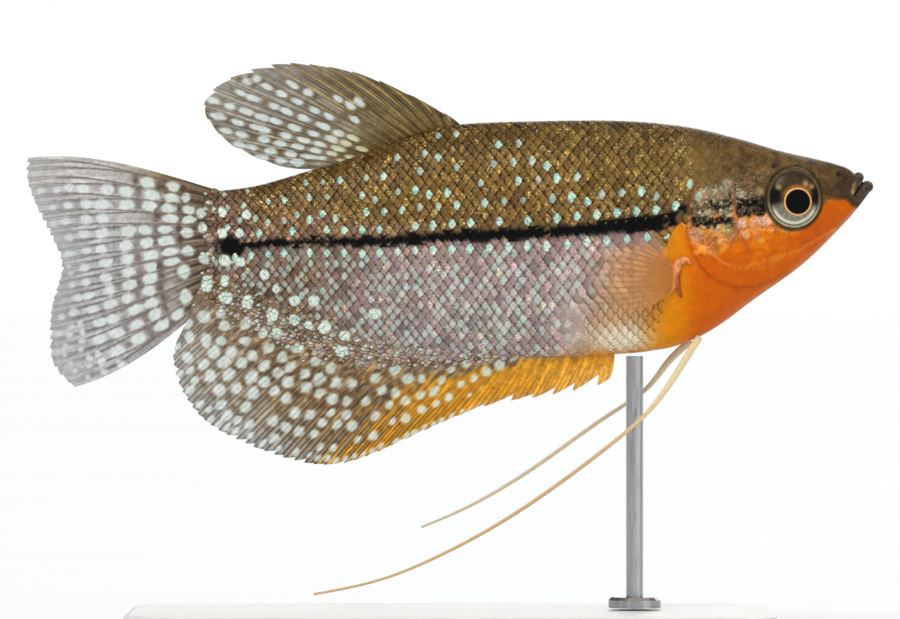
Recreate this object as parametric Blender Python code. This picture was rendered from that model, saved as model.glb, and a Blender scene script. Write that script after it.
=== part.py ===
"""Pearl gourami, a still life-size model held level on a plain display stand.

The fish swims towards +X. Its left side is +Y and up is +Z. Sizes are in millimetres in the fish's own
frame, whose origin lies at mid length on the long axis of the fish. place() turns them into metres above
the underside of the stand.
"""

import math

import bmesh
import bpy
import numpy as np
from mathutils import Matrix, Vector

MM = 0.001
GAP = 0.3
LENGTH = 110.0
HALF_LENGTH = LENGTH / 2

# Stand
BASE_LENGTH = 84.0
BASE_WIDTH = 46.0
BASE_THICK = 5.0
BASE_CORNER = 8.0
BASE_EDGE = 0.8
FEELER_DROP = 46.0
FEELER_CLEARANCE = 2.1
AXIS_HEIGHT = BASE_THICK + FEELER_CLEARANCE + FEELER_DROP
ROD_X = 24.0
ROD_RADIUS = 1.1
COLLAR_RADIUS = 3.4
COLLAR_THICK = 1.4

# Cuts that divide the body
NECK_X = 33.4
TAIL_X = -20.0
TAIL_END_X = -31.2
SNOUT_X = 54.6
BODY_SIDES = 32

SIDES = {"left": 1, "right": -1}


class Line:
    """A smooth line through (x, value) knots: a natural cubic spline, held level past its ends."""

    def __init__(self, *knots):
        self.x, self.value = (np.array(column, float) for column in zip(*sorted(knots)))
        step = np.diff(self.x)
        slope = np.diff(self.value) / step
        count = len(self.x)
        system = np.eye(count)
        right = np.zeros(count)
        for i in range(1, count - 1):
            system[i, i - 1 : i + 2] = step[i - 1], 2 * (step[i - 1] + step[i]), step[i]
            right[i] = 6 * (slope[i] - slope[i - 1])
        self.curvature = np.linalg.solve(system, right)

    def __call__(self, x):
        x = min(max(x, self.x[0]), self.x[-1])
        i = min(int(np.searchsorted(self.x, x, side="right")) - 1, len(self.x) - 2)
        step = self.x[i + 1] - self.x[i]
        a = (self.x[i + 1] - x) / step
        b = 1 - a
        bend = ((a**3 - a) * self.curvature[i] + (b**3 - b) * self.curvature[i + 1]) * step**2 / 6
        return float(a * self.value[i] + b * self.value[i + 1] + bend)


class Path:
    """A smooth path through (share, coordinate, coordinate, ...) knots."""

    def __init__(self, *knots):
        shares = [knot[0] for knot in knots]
        self.lines = [Line(*zip(shares, column)) for column in list(zip(*knots))[1:]]

    def __call__(self, share):
        return [line(share) for line in self.lines]


def mix(low, high, share):
    return low + (high - low) * share


# Body: back, belly, half width, height of the widest level, and how full the section is above and below it
BACK = Line((-31.2, 6.35), (-24.7, 7.2), (-19.5, 8.7), (-14.4, 10.2), (-7.3, 12.9), (-3.0, 14.4), (1.5, 15.1),
            (11.7, 15.5), (19.5, 15.6), (27.3, 15.2), (35.1, 13.9), (42.9, 11.6), (50.7, 9.7), (52.4, 8.8),
            (53.6, 7.6), (54.6, 7.2))
BELLY = Line((-31.2, -5.0), (-23.4, -8.4), (-14.3, -12.3), (-6.5, -14.3), (3.9, -15.2), (14.3, -15.2),
             (22.0, -14.9), (27.3, -14.3), (31.2, -13.1), (35.1, -11.0), (39.0, -8.1), (46.8, -2.3),
             (50.7, 1.6), (52.7, 3.8), (54.6, 6.3))
HALF_WIDTH = Line((-31.2, 1.4), (-24.0, 2.4), (-14.0, 3.6), (0.0, 4.9), (12.0, 5.5), (22.0, 5.9), (30.0, 6.1),
                  (36.0, 5.8), (42.0, 4.8), (47.0, 3.7), (51.0, 2.5), (53.0, 1.6), (54.6, 0.7))
WIDEST = Line((-30.5, 0.8), (-14.0, 2.2), (5.0, 2.8), (20.0, 1.0), (30.0, 0.2), (38.0, 2.0), (45.0, 4.2),
              (51.0, 5.8), (54.6, 6.8))
FULL_ABOVE = Line((-30.5, 1.1), (0.0, 1.0), (20.0, 0.95), (36.0, 0.9), (54.6, 0.95))
FULL_BELOW = Line((-30.5, 1.2), (-10.0, 1.35), (8.0, 1.2), (22.0, 0.95), (33.0, 1.0), (42.0, 1.15),
                  (54.6, 1.0))


def skin_point(x, turn):
    """The skin at a station x. The turn runs from 0 at the back over the left flank to the belly at pi."""
    rise = math.cos(turn)
    out = math.sin(turn)
    level = WIDEST(x)
    if rise > 0:
        z = level + (BACK(x) - level) * rise
        fullness = FULL_ABOVE(x)
    else:
        z = level + (level - BELLY(x)) * rise
        fullness = FULL_BELOW(x)
    return x, math.copysign(HALF_WIDTH(x) * abs(out) ** fullness, out), z


def half_width_at(x, z):
    """How far the skin stands out from the middle at a station x and height z."""
    level = WIDEST(x)
    edge, fullness = (BACK(x), FULL_ABOVE(x)) if z > level else (BELLY(x), FULL_BELOW(x))
    rise = min(abs((z - level) / (edge - level)), 1.0)
    return HALF_WIDTH(x) * math.sqrt(1 - rise * rise) ** fullness


def place(x, y, z):
    """A point of the fish's frame, in metres above the underside of the stand."""
    return Vector((x, y, z + AXIS_HEIGHT)) * MM


def clear_scene():
    for obj in list(bpy.data.objects):
        bpy.data.objects.remove(obj, do_unlink=True)


def collection_named(name):
    made = bpy.data.collections.new(name)
    bpy.context.scene.collection.children.link(made)
    return made


def add_object(name, mesh, collection):
    obj = bpy.data.objects.new(name, mesh)
    collection.objects.link(obj)
    return obj


def mesh_from(bm, name):
    bmesh.ops.recalc_face_normals(bm, faces=bm.faces)
    if bm.calc_volume(signed=True) < 0:
        bmesh.ops.reverse_faces(bm, faces=bm.faces)
    mesh = bpy.data.meshes.new(name)
    bm.to_mesh(mesh)
    bm.free()
    return mesh


def loft(name, rings, collection):
    """A closed solid through rings of equally many points, with a flat cap at each end."""
    bm = bmesh.new()
    rows = [[bm.verts.new(place(*point)) for point in ring] for ring in rings]
    for row, following in zip(rows, rows[1:]):
        for i in range(len(row)):
            j = (i + 1) % len(row)
            bm.faces.new((row[i], row[j], following[j], following[i]))
    bm.faces.new(rows[0])
    bm.faces.new(rows[-1])
    bmesh.ops.triangulate(bm, faces=bm.faces)
    return add_object(name, mesh_from(bm, name), collection)


def sheet(name, across, along, middle, half_thick, collection):
    """A thin closed sheet. middle(u, v) is its middle point and half_thick(u, v) its half thickness along Y.

    One grid is triangulated and then copied for the far face, so both faces are split alike.
    """
    bm = bmesh.new()
    bmesh.ops.create_grid(bm, x_segments=len(across) - 1, y_segments=len(along) - 1, size=0.5)
    shares = {}
    for vert in bm.verts:
        column = round((vert.co.x + 0.5) * (len(across) - 1))
        row = round((vert.co.y + 0.5) * (len(along) - 1))
        shares[vert] = across[column], along[row]
    bmesh.ops.triangulate(bm, faces=bm.faces, quad_method="FIXED")
    rim = [edge for edge in bm.edges if edge.is_boundary]
    copied = bmesh.ops.duplicate(bm, geom=bm.verts[:] + bm.edges[:] + bm.faces[:])
    twin = copied["vert_map"]
    far_rim = [copied["edge_map"][edge] for edge in rim]
    for vert, (u, v) in shares.items():
        x, y, z = middle(u, v)
        vert.co = place(x, y - half_thick(u, v), z)
        twin[vert].co = place(x, y + half_thick(u, v), z)
    bmesh.ops.bridge_loops(bm, edges=rim + far_rim)
    bmesh.ops.triangulate(bm, faces=bm.faces)
    return add_object(name, mesh_from(bm, name), collection)


def combine(target, others, operation, solver="EXACT"):
    """Joins the other objects to the target, or cuts them from it, and removes them."""
    tools = bpy.data.collections.new("tools")
    bpy.context.scene.collection.children.link(tools)
    for other in others:
        for owner in list(other.users_collection):
            owner.objects.unlink(other)
        tools.objects.link(other)
    modifier = target.modifiers.new("combine", "BOOLEAN")
    modifier.operation = operation
    modifier.operand_type = "COLLECTION"
    modifier.collection = tools
    modifier.solver = solver
    graph = bpy.context.evaluated_depsgraph_get()
    mesh = bpy.data.meshes.new_from_object(target.evaluated_get(graph))
    target.modifiers.clear()
    target.data = mesh
    for other in others:
        bpy.data.objects.remove(other, do_unlink=True)
    bpy.data.collections.remove(tools)


def closed_parts(obj):
    """The vertex sets of an object's separate closed surfaces, the largest first."""
    bm = bmesh.new()
    bm.from_mesh(obj.data)
    left = set(bm.verts)
    parts = []
    while left:
        found = {left.pop()}
        front = list(found)
        while front:
            near = {edge.other_vert(vert) for vert in front for edge in vert.link_edges} - found
            found |= near
            front = list(near)
        left -= found
        parts.append(sorted(vert.index for vert in found))
    bm.free()
    return sorted(parts, key=len, reverse=True)


def keep_part(obj, indices):
    keep = set(indices)
    bm = bmesh.new()
    bm.from_mesh(obj.data)
    bmesh.ops.delete(bm, geom=[vert for vert in bm.verts if vert.index not in keep], context="VERTS")
    bm.to_mesh(obj.data)
    bm.free()


def keep_largest(obj):
    keep_part(obj, closed_parts(obj)[0])


def ellipsoid(name, centre, radii, collection, segments=24, rings=12):
    bm = bmesh.new()
    bmesh.ops.create_uvsphere(bm, u_segments=segments, v_segments=rings, radius=1.0)
    for vert in bm.verts:
        reach = (vert.co[i] * radii[i] for i in range(3))
        vert.co = place(*(c + r for c, r in zip(centre, reach)))
    return add_object(name, mesh_from(bm, name), collection)


def tube(name, path, radius, steps, sides, collection):
    """A tapering closed tube along path(share), with a radius(share) that may give (width, height)."""
    rings = []
    for step in range(steps + 1):
        share = step / steps
        here = Vector(path(share))
        ahead = Vector(path(min(share + 0.01, 1.0))) - Vector(path(max(share - 0.01, 0.0)))
        ahead.normalize()
        across = ahead.cross(Vector((0, 0, 1))).normalized()
        up = across.cross(ahead)
        ring = []
        for i in range(sides):
            turn = math.tau * i / sides
            ring.append(here + (across * math.cos(turn) + up * math.sin(turn)) * radius(share))
        rings.append(ring)
    return loft(name, rings, collection)


def body_length(name, start, end, stations, collection):
    """The body's skin as a solid between two stations."""
    rings = []
    for i in range(stations + 1):
        x = mix(start, end, i / stations)
        rings.append([skin_point(x, math.tau * k / BODY_SIDES) for k in range(BODY_SIDES)])
    return loft(name, rings, collection)


# Gill covers: the outline of the plate, seen from the side
GILL_OUTLINE = [(32.6, 7.7), (31.0, 4.6), (30.6, 1.6), (31.2, -1.3), (33.0, -4.2), (36.0, -5.9), (38.9, -6.2),
                (38.4, -2.8), (36.9, 1.4), (36.7, 5.0), (35.2, 7.9)]
GILL_CENTRE = (34.3, 1.0)
GILL_LIFT = 0.35
GILL_DEPTH = 1.1


def outline_radius():
    """The gill cover's outline as a distance from its centre, by direction."""
    turns = []
    for x, z in GILL_OUTLINE:
        dx, dz = x - GILL_CENTRE[0], z - GILL_CENTRE[1]
        turns.append((math.atan2(dz, dx) % math.tau, math.hypot(dx, dz)))
    turns.sort()
    before = [(turn - math.tau, reach) for turn, reach in turns[-3:]]
    after = [(turn + math.tau, reach) for turn, reach in turns[:3]]
    return Line(*before, *turns, *after)


def gill_plate(name, side, grow, lift, depth, collection):
    """The gill cover's rounded plate, set into the skin. grow widens it for the recess it sits in."""
    reach = outline_radius()
    bm = bmesh.new()
    bmesh.ops.create_uvsphere(bm, u_segments=28, v_segments=10, radius=1.0)
    for vert in bm.verts:
        turn = math.atan2(vert.co.y, vert.co.x) % math.tau
        spread = min(math.hypot(vert.co.x, vert.co.y), 1.0) ** 0.6
        radius = spread * (reach(turn) + grow)
        x = GILL_CENTRE[0] + radius * math.cos(turn)
        z = GILL_CENTRE[1] + radius * math.sin(turn)
        swell = abs(vert.co.z) ** 0.5
        offset = lift * swell if vert.co.z > 0 else -depth * swell
        vert.co = place(x, side * (half_width_at(x, z) - 0.15 + offset), z)
    return add_object(name, mesh_from(bm, name), collection)


def make_gill_covers(nodes, parts, cutters):
    for word, side in SIDES.items():
        name = f"gill_cover_{word}"
        nodes[name] = gill_plate(name, side, 0.0, GILL_LIFT, GILL_DEPTH, parts)
        for node in ("head", "trunk"):
            recess = gill_plate("recess", side, GAP, 4.0, GILL_DEPTH + GAP, cutters)
            combine(nodes[node], [recess], "DIFFERENCE")


# Eyes
EYE_CENTRE = (44.55, 3.05, 5.35)
EYE_RADII = (3.8, 2.3, 3.8)
LENS_RADIUS = 1.75
LENS_LIFT = 0.25
ORBIT_RADIUS = 3.65
ORBIT_THICK = 0.42


def make_eyes(nodes, parts, cutters):
    for word, side in SIDES.items():
        x, y, z = EYE_CENTRE
        centre = (x, side * y, z)
        grown = [radius + GAP for radius in EYE_RADII]
        combine(nodes["head"], [orbit_rim(side, cutters)], "UNION")
        combine(nodes["head"], [ellipsoid("socket", centre, grown, cutters, 22, 12)], "DIFFERENCE")
        eye = ellipsoid(f"eye_{word}", centre, EYE_RADII, parts, 22, 10)
        lens_centre = (x, side * (y + EYE_RADII[1] - 0.6), z)
        lens = ellipsoid("lens", lens_centre, (LENS_RADIUS, 0.6 + LENS_LIFT, LENS_RADIUS), cutters, 16, 6)
        combine(eye, [lens], "UNION")
        nodes[f"eye_{word}"] = eye


def orbit_rim(side, collection):
    """A ring of skin round the eye, laid on the side of the head."""

    def ring_path(share):
        turn = math.tau * share
        x = EYE_CENTRE[0] + ORBIT_RADIUS * math.cos(turn)
        z = EYE_CENTRE[2] + ORBIT_RADIUS * math.sin(turn)
        return x, side * (half_width_at(x, z) - 0.1), z

    count, sides = 26, 6
    rings = []
    for step in range(count):
        here = Vector(ring_path(step / count))
        centre = Vector((EYE_CENTRE[0], here.y, EYE_CENTRE[2]))
        outward = (here - centre).normalized()
        ring = []
        for i in range(sides):
            turn = math.tau * i / sides
            ring.append(here + (outward * math.cos(turn) + Vector((0, 1, 0)) * math.sin(turn)) * ORBIT_THICK)
        rings.append(ring)
    bm = bmesh.new()
    rows = [[bm.verts.new(place(*point)) for point in ring] for ring in rings]
    for row, following in zip(rows, rows[1:] + rows[:1]):
        for i in range(sides):
            j = (i + 1) % sides
            bm.faces.new((row[i], row[j], following[j], following[i]))
    return add_object("rim", mesh_from(bm, "rim"), collection)


# Mouth: the slit from between the lips to the jaw joint and down to the throat, seen from the side
MOUTH_SLIT = [(56.0, 9.6), (54.1, 8.0), (53.3, 6.9), (52.4, 5.7), (50.7, 4.4), (49.6, 1.8), (49.4, -3.0)]
LIP_UPPER = {"centre": (52.1, 8.3), "reach": 0.95, "spread": 1.75, "drop": 1.5, "thick": 0.62}
LIP_LOWER = {"centre": (52.9, 7.1), "reach": 1.5, "spread": 1.35, "drop": 1.5, "thick": 0.6}
NOSTRILS = [(50.5, 8.5, 0.38), (48.9, 8.9, 0.32)]


def thin_wall(name, points, thick, half_depth, collection):
    """A bent wall along points in the side view, of one thickness and of a given depth each way."""
    left = []
    right = []
    for i, point in enumerate(points):
        before = Vector(points[max(i - 1, 0)])
        after = Vector(points[min(i + 1, len(points) - 1)])
        ahead = (after - before).normalized()
        aside = Vector((-ahead.y, ahead.x)) * thick / 2
        left.append(Vector(point) + aside)
        right.append(Vector(point) - aside)
    outline = left + right[::-1]
    rings = [[(point.x, y, point.y) for point in outline] for y in (-half_depth, half_depth)]
    return loft(name, rings, collection)


def lip(name, sizes, collection):
    """A lip, bent round the front of the mouth and dropping to its corners."""
    x, z = sizes["centre"]

    def path(share):
        turn = mix(-1.75, 1.75, share)
        front = math.cos(turn)
        return x + sizes["reach"] * front, sizes["spread"] * math.sin(turn), z - sizes["drop"] * (1 - front)

    def radius(share):
        return sizes["thick"] * (0.62 + 0.38 * math.sin(math.pi * share))

    return tube(name, path, radius, 14, 10, collection)


def make_head(nodes, parts, cutters):
    head = body_length("head", NECK_X + GAP / 2, SNOUT_X, 18, parts)
    combine(head, [thin_wall("mouth", MOUTH_SLIT, GAP, 8.0, cutters)], "DIFFERENCE")
    jaw = add_object("lower_jaw", head.data.copy(), parts)
    skull_part, jaw_part = closed_parts(head)[:2]
    keep_part(head, skull_part)
    keep_part(jaw, jaw_part)
    combine(head, [lip("upper_lip", LIP_UPPER, cutters)], "UNION")
    combine(jaw, [lip("lower_lip", LIP_LOWER, cutters)], "UNION")
    for side in SIDES.values():
        for x, z, radius in NOSTRILS:
            pit = (x, side * half_width_at(x, z), z)
            nostril = ellipsoid("nostril", pit, (radius * 1.2, radius, radius), cutters, 12, 6)
            combine(head, [nostril], "DIFFERENCE")
    nodes["head"] = head
    nodes["lower_jaw"] = jaw


def make_trunk(nodes, parts):
    nodes["trunk"] = body_length("trunk", TAIL_X + GAP / 2, NECK_X - GAP / 2, 28, parts)
    nodes["tail_base"] = body_length("tail_base", TAIL_END_X, TAIL_X - GAP / 2, 8, parts)


# Fins. Each ray runs from a root point to a tip point, by share from the fin's front or top ray to its last.
DORSAL_ROOT = (0.6, -13.8)
DORSAL_TIP = Path((0, 0.2, 16.1), (0.08, -5.0, 19.0), (0.16, -9.9, 21.2), (0.3, -16.8, 22.7),
                  (0.43, -21.9, 23.0), (0.54, -26.5, 22.0), (0.62, -29.8, 20.4), (0.71, -32.0, 17.8),
                  (0.8, -31.1, 15.1), (0.9, -28.0, 12.1), (1, -23.0, 9.9))
ANAL_ROOT = (21.5, -28.9)
ANAL_TIP = Path((0, 20.6, -18.6), (0.06, 15.9, -19.6), (0.145, 10.7, -20.5), (0.23, 4.0, -21.8),
                (0.347, -8.2, -27.0), (0.448, -15.3, -29.2), (0.6, -24.7, -27.2), (0.714, -31.0, -24.1),
                (0.808, -34.4, -20.3), (0.9, -36.0, -15.2), (1, -34.1, -10.8))
CAUDAL_ROOT = (6.5, -7.3)
CAUDAL_TIP = Path((0, -54.9, 10.7), (0.06, -55.1, 8.9), (0.2, -53.8, 4.5), (0.36, -51.6, 0.0),
                  (0.46, -50.5, -2.9), (0.62, -51.5, -7.5), (0.78, -52.0, -12.2), (0.93, -50.9, -17.1),
                  (1, -48.8, -19.1))
MEMBRANE_ROOT = 0.42
MEMBRANE_EDGE = 0.25
RIDGE_ROOT = 0.28
RIDGE_EDGE = 0.12


def ray_columns(rays):
    """Three columns for each ray: its two feet and its crest, with the membrane between."""
    foot = 0.24
    columns = []
    for ray in range(rays):
        middle = ray + 0.5
        columns += [(middle - foot) / rays, middle / rays, (middle + foot) / rays]
    columns[0] = 0.0
    columns[-1] = 1.0
    return columns


def is_crest(u, rays):
    return abs(u * rays % 1 - 0.5) < 0.05


def fin_rows(rows):
    return [(row / rows) ** 0.9 for row in range(rows + 1)]


def ray_fin(name, rays, rows, root, tip, collection, bow=(0, 0), sway=None, teeth=0.35, front_teeth=0.0):
    """A fin whose rays stand as ridges on its membrane, and whose edge is notched between the ray tips."""

    def middle(u, v):
        x0, y0, z0 = root(u)
        x1, z1 = tip(u)
        ahead = Vector((x1 - x0, z1 - z0))
        proud = (teeth + front_teeth * max(0.0, 1 - u / 0.25)) * v**3
        reach = v * (1 - (0.0 if is_crest(u, rays) else proud / max(ahead.length, 1.0)))
        lift = mix(*bow, u) * 4 * v * (1 - v) * (0.6 + 0.8 * v)
        aside = Vector((-ahead.y, ahead.x)).normalized() * -lift
        y = y0 + (sway(u, v) if sway else 0.0)
        return x0 + ahead.x * reach + aside.x, y, z0 + ahead.y * reach + aside.y

    def half_thick(u, v):
        membrane = mix(MEMBRANE_ROOT, MEMBRANE_EDGE, v)
        return membrane + (mix(RIDGE_ROOT, RIDGE_EDGE, v) if is_crest(u, rays) else 0.0)

    return sheet(name, ray_columns(rays), fin_rows(rows), middle, half_thick, collection)


def make_fins(nodes, parts):
    def dorsal_root(u):
        x = mix(*DORSAL_ROOT, u)
        return x, 0.0, BACK(x) + GAP

    def anal_root(u):
        x = mix(*ANAL_ROOT, u)
        return x, 0.0, BELLY(x) - GAP

    def caudal_root(u):
        return TAIL_END_X - GAP, 0.0, mix(*CAUDAL_ROOT, u)

    nodes["dorsal_fin"] = ray_fin(
        "dorsal_fin", 15, 6, dorsal_root, DORSAL_TIP, parts, bow=(0.8, -0.5),
        sway=lambda u, v: 0.9 * v * v * math.sin(2.4 * u))
    nodes["anal_fin"] = ray_fin(
        "anal_fin", 36, 6, anal_root, ANAL_TIP, parts, bow=(-0.2, 0.35), front_teeth=1.2,
        sway=lambda u, v: 0.7 * v * v * math.sin(7.0 * u - 1.0))
    nodes["caudal_fin"] = ray_fin(
        "caudal_fin", 16, 7, caudal_root, CAUDAL_TIP, parts, bow=(1.3, -1.25),
        sway=lambda u, v: 1.3 * v * v * math.sin(2.6 * v + 1.2 * u))


# Pectoral fins, swept back and standing a little off the flanks
PECTORAL_X = 29.0
PECTORAL_ROOT = (-2.8, -7.0)
PECTORAL_TIP = Path((0, 22.8, -0.2), (0.25, 19.8, -1.8), (0.5, 18.4, -4.4), (0.75, 18.9, -7.0),
                    (1, 21.6, -9.2))
PECTORAL_SPLAY = 2.8


def make_pectorals(nodes, parts):
    for word, side in SIDES.items():

        def root(u, side=side):
            z = mix(*PECTORAL_ROOT, u)
            stand_off = GAP + MEMBRANE_ROOT + RIDGE_ROOT
            return PECTORAL_X, side * (half_width_at(PECTORAL_X, z) + stand_off), z

        def sway(u, v, side=side):
            return side * (PECTORAL_SPLAY * v - 0.9 * v * v)

        name = f"pectoral_fin_{word}"
        nodes[name] = ray_fin(name, 10, 4, root, PECTORAL_TIP, parts, sway=sway, teeth=0.2)


# Pelvic feelers: the long threads into which the pelvic fins are drawn out
FEELER_RIGHT = Path((0, 32.0, -1.5, -13.2), (0.06, 30.4, -2.3, -15.7), (0.14, 28.4, -3.0, -18.8),
                    (0.22, 26.0, -3.6, -21.9), (0.31, 22.9, -4.2, -24.8), (0.5, 13.6, -5.2, -31.9),
                    (0.64, 6.5, -5.8, -36.6), (0.78, -1.3, -6.2, -40.8), (0.9, -9.6, -6.4, -44.1),
                    (1, -17.6, -6.4, -45.8))
FEELER_LEFT = Path((0, 31.0, 1.5, -13.4), (0.1, 28.5, 2.6, -15.8), (0.22, 25.8, 3.5, -19.2),
                   (0.36, 20.6, 4.2, -22.9), (0.56, 12.0, 4.9, -29.0), (0.8, 2.6, 5.4, -34.7),
                   (1, -3.8, 5.6, -37.5))
FEELER_LENGTHS = [(0.0, 0.3), (0.3, 0.64), (0.64, 1.0)]
FEELER_ROOT_RADIUS = 0.55
FEELER_THREAD_RADIUS = 0.27
FEELER_TIP_RADIUS = 0.16


def feeler_radius(share):
    if share < 0.3:
        return mix(FEELER_ROOT_RADIUS, FEELER_THREAD_RADIUS, (share / 0.3) ** 0.7)
    return mix(FEELER_THREAD_RADIUS, FEELER_TIP_RADIUS, max(0.0, (share - 0.5) / 0.5) ** 2)


def make_feelers(nodes, parts):
    for word, path, length in (("right", FEELER_RIGHT, 66.0), ("left", FEELER_LEFT, 44.0)):
        for number, (start, end) in enumerate(FEELER_LENGTHS, 1):
            trim = GAP / 2 / length
            start += trim if number > 1 else 0.0
            end -= trim if number < len(FEELER_LENGTHS) else 0.0
            name = f"feeler_{word}_{number}"
            nodes[name] = tube(
                name,
                lambda share, path=path, start=start, end=end: path(mix(start, end, share)),
                lambda share, start=start, end=end: feeler_radius(mix(start, end, share)),
                8, 8, parts)


def make_stand(nodes, parts):
    bpy.ops.mesh.primitive_cube_add(size=1.0)
    base = bpy.context.object
    base.name = base.data.name = "stand_base"
    base.data.transform(Matrix.Diagonal((BASE_LENGTH * MM, BASE_WIDTH * MM, BASE_THICK * MM, 1.0)))
    base.data.transform(Matrix.Translation((0, 0, BASE_THICK * MM / 2)))
    bm = bmesh.new()
    bm.from_mesh(base.data)
    upright = [edge for edge in bm.edges if abs(edge.verts[0].co.z - edge.verts[1].co.z) > MM]
    bmesh.ops.bevel(bm, geom=upright, offset=BASE_CORNER * MM, segments=6, profile=0.5, affect="EDGES")
    top = [edge for edge in bm.edges if all(vert.co.z > (BASE_THICK - 0.1) * MM for vert in edge.verts)]
    bmesh.ops.bevel(bm, geom=top, offset=BASE_EDGE * MM, segments=2, profile=0.5, affect="EDGES")
    bm.to_mesh(base.data)
    bm.free()
    for owner in list(base.users_collection):
        owner.objects.unlink(base)
    parts.objects.link(base)
    nodes["stand_base"] = base

    foot = BASE_THICK - AXIS_HEIGHT + GAP
    top = BELLY(ROD_X) - GAP
    collar_top = foot + COLLAR_THICK
    profile = [(COLLAR_RADIUS, foot), (COLLAR_RADIUS, collar_top - 0.4), (COLLAR_RADIUS - 0.4, collar_top),
               (ROD_RADIUS, collar_top), (ROD_RADIUS, top)]
    rings = []
    for radius, z in profile:
        turns = [math.tau * i / 20 for i in range(20)]
        rings.append([(ROD_X + radius * math.cos(turn), radius * math.sin(turn), z) for turn in turns])
    nodes["stand_rod"] = loft("stand_rod", rings, parts)


# Materials: base colour, roughness and metallic value
FINISHES = {
    "skin": ((0.36, 0.29, 0.19), 0.4, 0.1),
    "throat": ((0.72, 0.27, 0.03), 0.4, 0.0),
    "fin": ((0.5, 0.49, 0.44), 0.5, 0.0),
    "eye": ((0.08, 0.07, 0.05), 0.1, 0.0),
    "feeler": ((0.83, 0.62, 0.42), 0.5, 0.0),
    "stand": ((0.78, 0.78, 0.76), 0.5, 0.0),
    "steel": ((0.55, 0.55, 0.56), 0.3, 1.0),
}


def finish_of(name):
    if name.startswith("stand_"):
        return "stand" if name == "stand_base" else "steel"
    if "fin" in name.split("_"):
        return "fin"
    if name.startswith(("eye", "feeler")):
        return name.split("_")[0]
    return "throat" if name in ("lower_jaw", "gill_cover_left", "gill_cover_right") else "skin"


def finish_nodes(nodes):
    for name, obj in nodes.items():
        obj.name = obj.data.name = name
        slot = finish_of(name)
        material = bpy.data.materials.get(slot) or bpy.data.materials.new(slot)
        colour, roughness, metallic = FINISHES[slot]
        material.use_nodes = True
        shader = material.node_tree.nodes["Principled BSDF"]
        shader.inputs["Base Color"].default_value = (*colour, 1.0)
        shader.inputs["Roughness"].default_value = roughness
        shader.inputs["Metallic"].default_value = metallic
        obj.data.materials.clear()
        obj.data.materials.append(material)
        obj.data.shade_smooth()
        obj.data.set_sharp_from_angle(angle=math.radians(50))


def main():
    clear_scene()
    parts = collection_named("pearl_gourami")
    cutters = collection_named("cutters")
    nodes = {}
    make_head(nodes, parts, cutters)
    make_trunk(nodes, parts)
    make_gill_covers(nodes, parts, cutters)
    make_eyes(nodes, parts, cutters)
    make_fins(nodes, parts)
    make_pectorals(nodes, parts)
    make_feelers(nodes, parts)
    make_stand(nodes, parts)
    for node in ("head", "trunk", "lower_jaw"):
        keep_largest(nodes[node])
    finish_nodes(nodes)


main()
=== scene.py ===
"""The looks of the pearl gourami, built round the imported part.

Sizes are in millimetres in the fish's own frame: +X forward, +Y the fish's left, +Z up, with the origin at
mid length on its long axis. place() turns them into metres in the row frame.
"""

import math

import bmesh
import bpy
import numpy as np
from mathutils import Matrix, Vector


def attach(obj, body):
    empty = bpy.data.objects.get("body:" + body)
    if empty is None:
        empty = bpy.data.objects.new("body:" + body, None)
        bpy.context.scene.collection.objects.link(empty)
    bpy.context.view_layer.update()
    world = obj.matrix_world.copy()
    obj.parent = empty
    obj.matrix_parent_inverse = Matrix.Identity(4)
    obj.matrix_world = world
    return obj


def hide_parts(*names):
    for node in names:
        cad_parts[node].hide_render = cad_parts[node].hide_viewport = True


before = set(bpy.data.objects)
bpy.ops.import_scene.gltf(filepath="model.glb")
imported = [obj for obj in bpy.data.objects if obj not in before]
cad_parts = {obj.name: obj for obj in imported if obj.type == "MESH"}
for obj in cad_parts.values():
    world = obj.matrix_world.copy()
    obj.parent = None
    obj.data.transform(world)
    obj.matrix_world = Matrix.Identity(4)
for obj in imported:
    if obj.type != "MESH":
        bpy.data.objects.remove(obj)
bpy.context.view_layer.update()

MM = 0.001
AXIS_HEIGHT = 53.1
PIXEL = 0.13002
PIXEL_X = 450.0
PIXEL_Y = 240.06
FRAME_WIDTH = 900
FRAME_HEIGHT = 619
SIDES = {"left": 1, "right": -1}
COAT_DEPTH = 0.16


class Line:
    """A smooth line through (x, value) knots: a natural cubic spline, held level past its ends."""

    def __init__(self, *knots):
        self.x, self.value = (np.array(column, float) for column in zip(*sorted(knots)))
        step = np.diff(self.x)
        slope = np.diff(self.value) / step
        count = len(self.x)
        system = np.eye(count)
        right = np.zeros(count)
        for i in range(1, count - 1):
            system[i, i - 1 : i + 2] = step[i - 1], 2 * (step[i - 1] + step[i]), step[i]
            right[i] = 6 * (slope[i] - slope[i - 1])
        self.curvature = np.linalg.solve(system, right)

    def __call__(self, x):
        x = np.clip(x, self.x[0], self.x[-1])
        i = np.clip(np.searchsorted(self.x, x, side="right") - 1, 0, len(self.x) - 2)
        step = self.x[i + 1] - self.x[i]
        a = (self.x[i + 1] - x) / step
        b = 1 - a
        bend = ((a**3 - a) * self.curvature[i] + (b**3 - b) * self.curvature[i + 1]) * step**2 / 6
        return a * self.value[i] + b * self.value[i + 1] + bend


class Path:
    """A smooth path through (share, coordinate, coordinate, ...) knots."""

    def __init__(self, *knots):
        shares = [knot[0] for knot in knots]
        self.lines = [Line(*zip(shares, column)) for column in list(zip(*knots))[1:]]

    def __call__(self, share):
        return np.stack([line(share) for line in self.lines], -1)


def mix(low, high, share):
    return low + (high - low) * share


def smooth(low, high, value):
    """0 below low, 1 above high, and a smooth step between; low may be the larger."""
    share = np.clip((value - low) / (high - low), 0, 1)
    return share * share * (3 - 2 * share)


def blend(colour, other, share):
    return colour + (np.asarray(other, float) - colour) * np.asarray(share)[..., None]


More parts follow.
